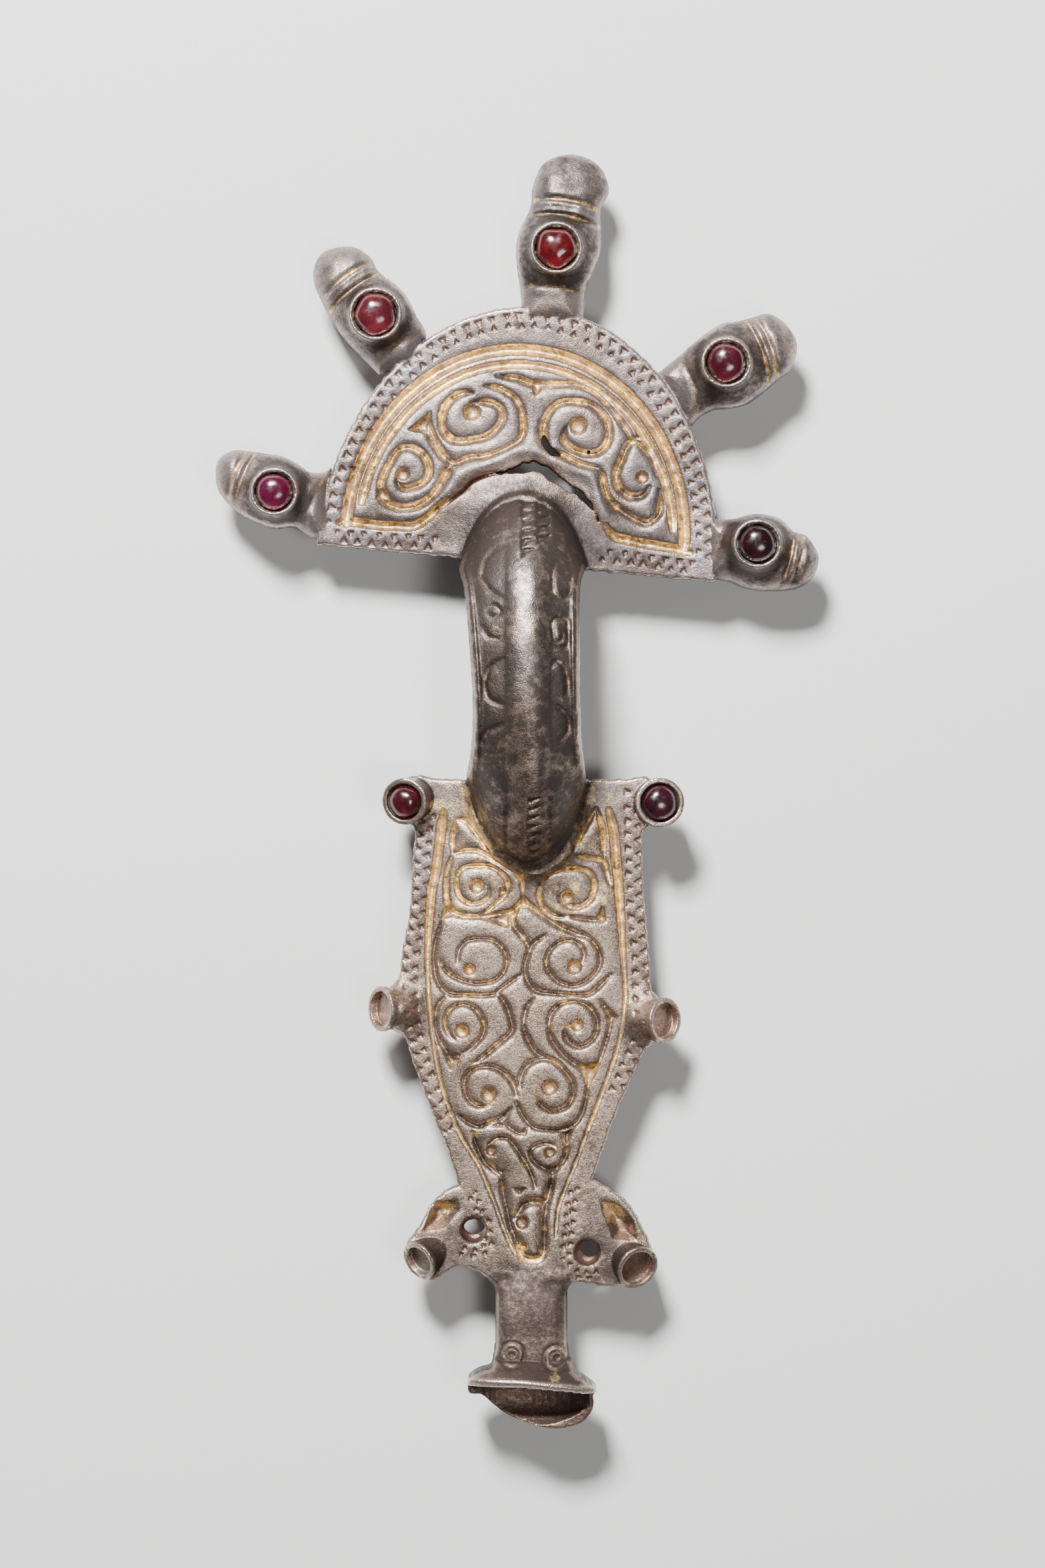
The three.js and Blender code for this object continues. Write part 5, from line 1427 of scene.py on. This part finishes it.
def add_garnets():
    for k, (name, (_, place, heading, stone, _)) in enumerate(KNOBS.items()):
        node = "garnet_" + name
        seat = seat_matrix((*place, MOUND_TOP), 0, 0)
        uneven = UNEVEN_STONES.get(name, 1.0)
        cabochon(node, stone + STONE_SPREAD, seat, GARNET_COLOURS[node], 20 + k, uneven)
    for k, (name, (middle, _, heading, lean, stone)) in enumerate(CUPS.items()):
        if stone:
            node = "garnet_" + name
            seat = seat_matrix(middle, heading, lean)
            cabochon(node, stone + STONE_SPREAD, seat, GARNET_COLOURS[node], 30 + k)


# ---- body, floor, lights, camera ----------------------------------------------------
def add_body():
    fill_volume()
    mesh = body_mesh()
    mesh.name = "cast_body_fine"
    paint_body(mesh)
    mesh.materials.clear()
    mesh.materials.append(silver_gilt())
    body = new_object("cast_body_fine", mesh)
    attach(body, "root")
    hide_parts("cast_body")


def add_floor():
    mesh = bpy.data.meshes.new("floor")
    mesh.from_pydata([(-2, -2, 0), (2, -2, 0), (2, 2, 0), (-2, 2, 0)], [], [(0, 1, 2, 3)])
    mesh.materials.append(floor_material())
    floor = new_object("floor", mesh)


def add_light(name, place, size, power):
    lamp = bpy.data.lights.new(name, "AREA")
    lamp.shape = "RECTANGLE"
    lamp.size, lamp.size_y = size
    lamp.energy = power
    light = new_object(name, lamp)
    light.location = place
    light.rotation_mode = "QUATERNION"
    light.rotation_quaternion = (-Vector(place)).to_track_quat("-Z", "Y")


# Lamps: place, size, power.
KEY_LAMP = ((-0.14, 0.42, 0.53), (0.14, 0.14), 14.5)
SECOND_LAMP = ((0.20, -0.14, 0.64), (0.18, 0.18), 1.3)
WORLD_COLOUR, WORLD_STRENGTH = (0.95, 0.95, 0.95, 1.0), 0.10


def add_lights():
    add_light("key", *KEY_LAMP)
    add_light("second", *SECOND_LAMP)
    world = bpy.data.worlds.new("studio")
    world.use_nodes = True
    background = world.node_tree.nodes["Background"]
    background.inputs["Color"].default_value = WORLD_COLOUR
    background.inputs["Strength"].default_value = WORLD_STRENGTH
    bpy.context.scene.world = world


CAMERA_PLACE = (0.00056, 0.00072, 0.602)
SENSOR_WIDTH, FOCAL_LENGTH = 36.0, 113.8  # millimetres


def add_camera():
    lens = bpy.data.cameras.new("camera")
    lens.sensor_width = SENSOR_WIDTH
    lens.lens = FOCAL_LENGTH
    lens.clip_start, lens.clip_end = 0.01, 10.0
    camera = new_object("camera", lens)
    camera.location = CAMERA_PLACE
    bpy.context.scene.camera = camera


add_body()
add_garnets()
add_floor()
add_lights()
add_camera()
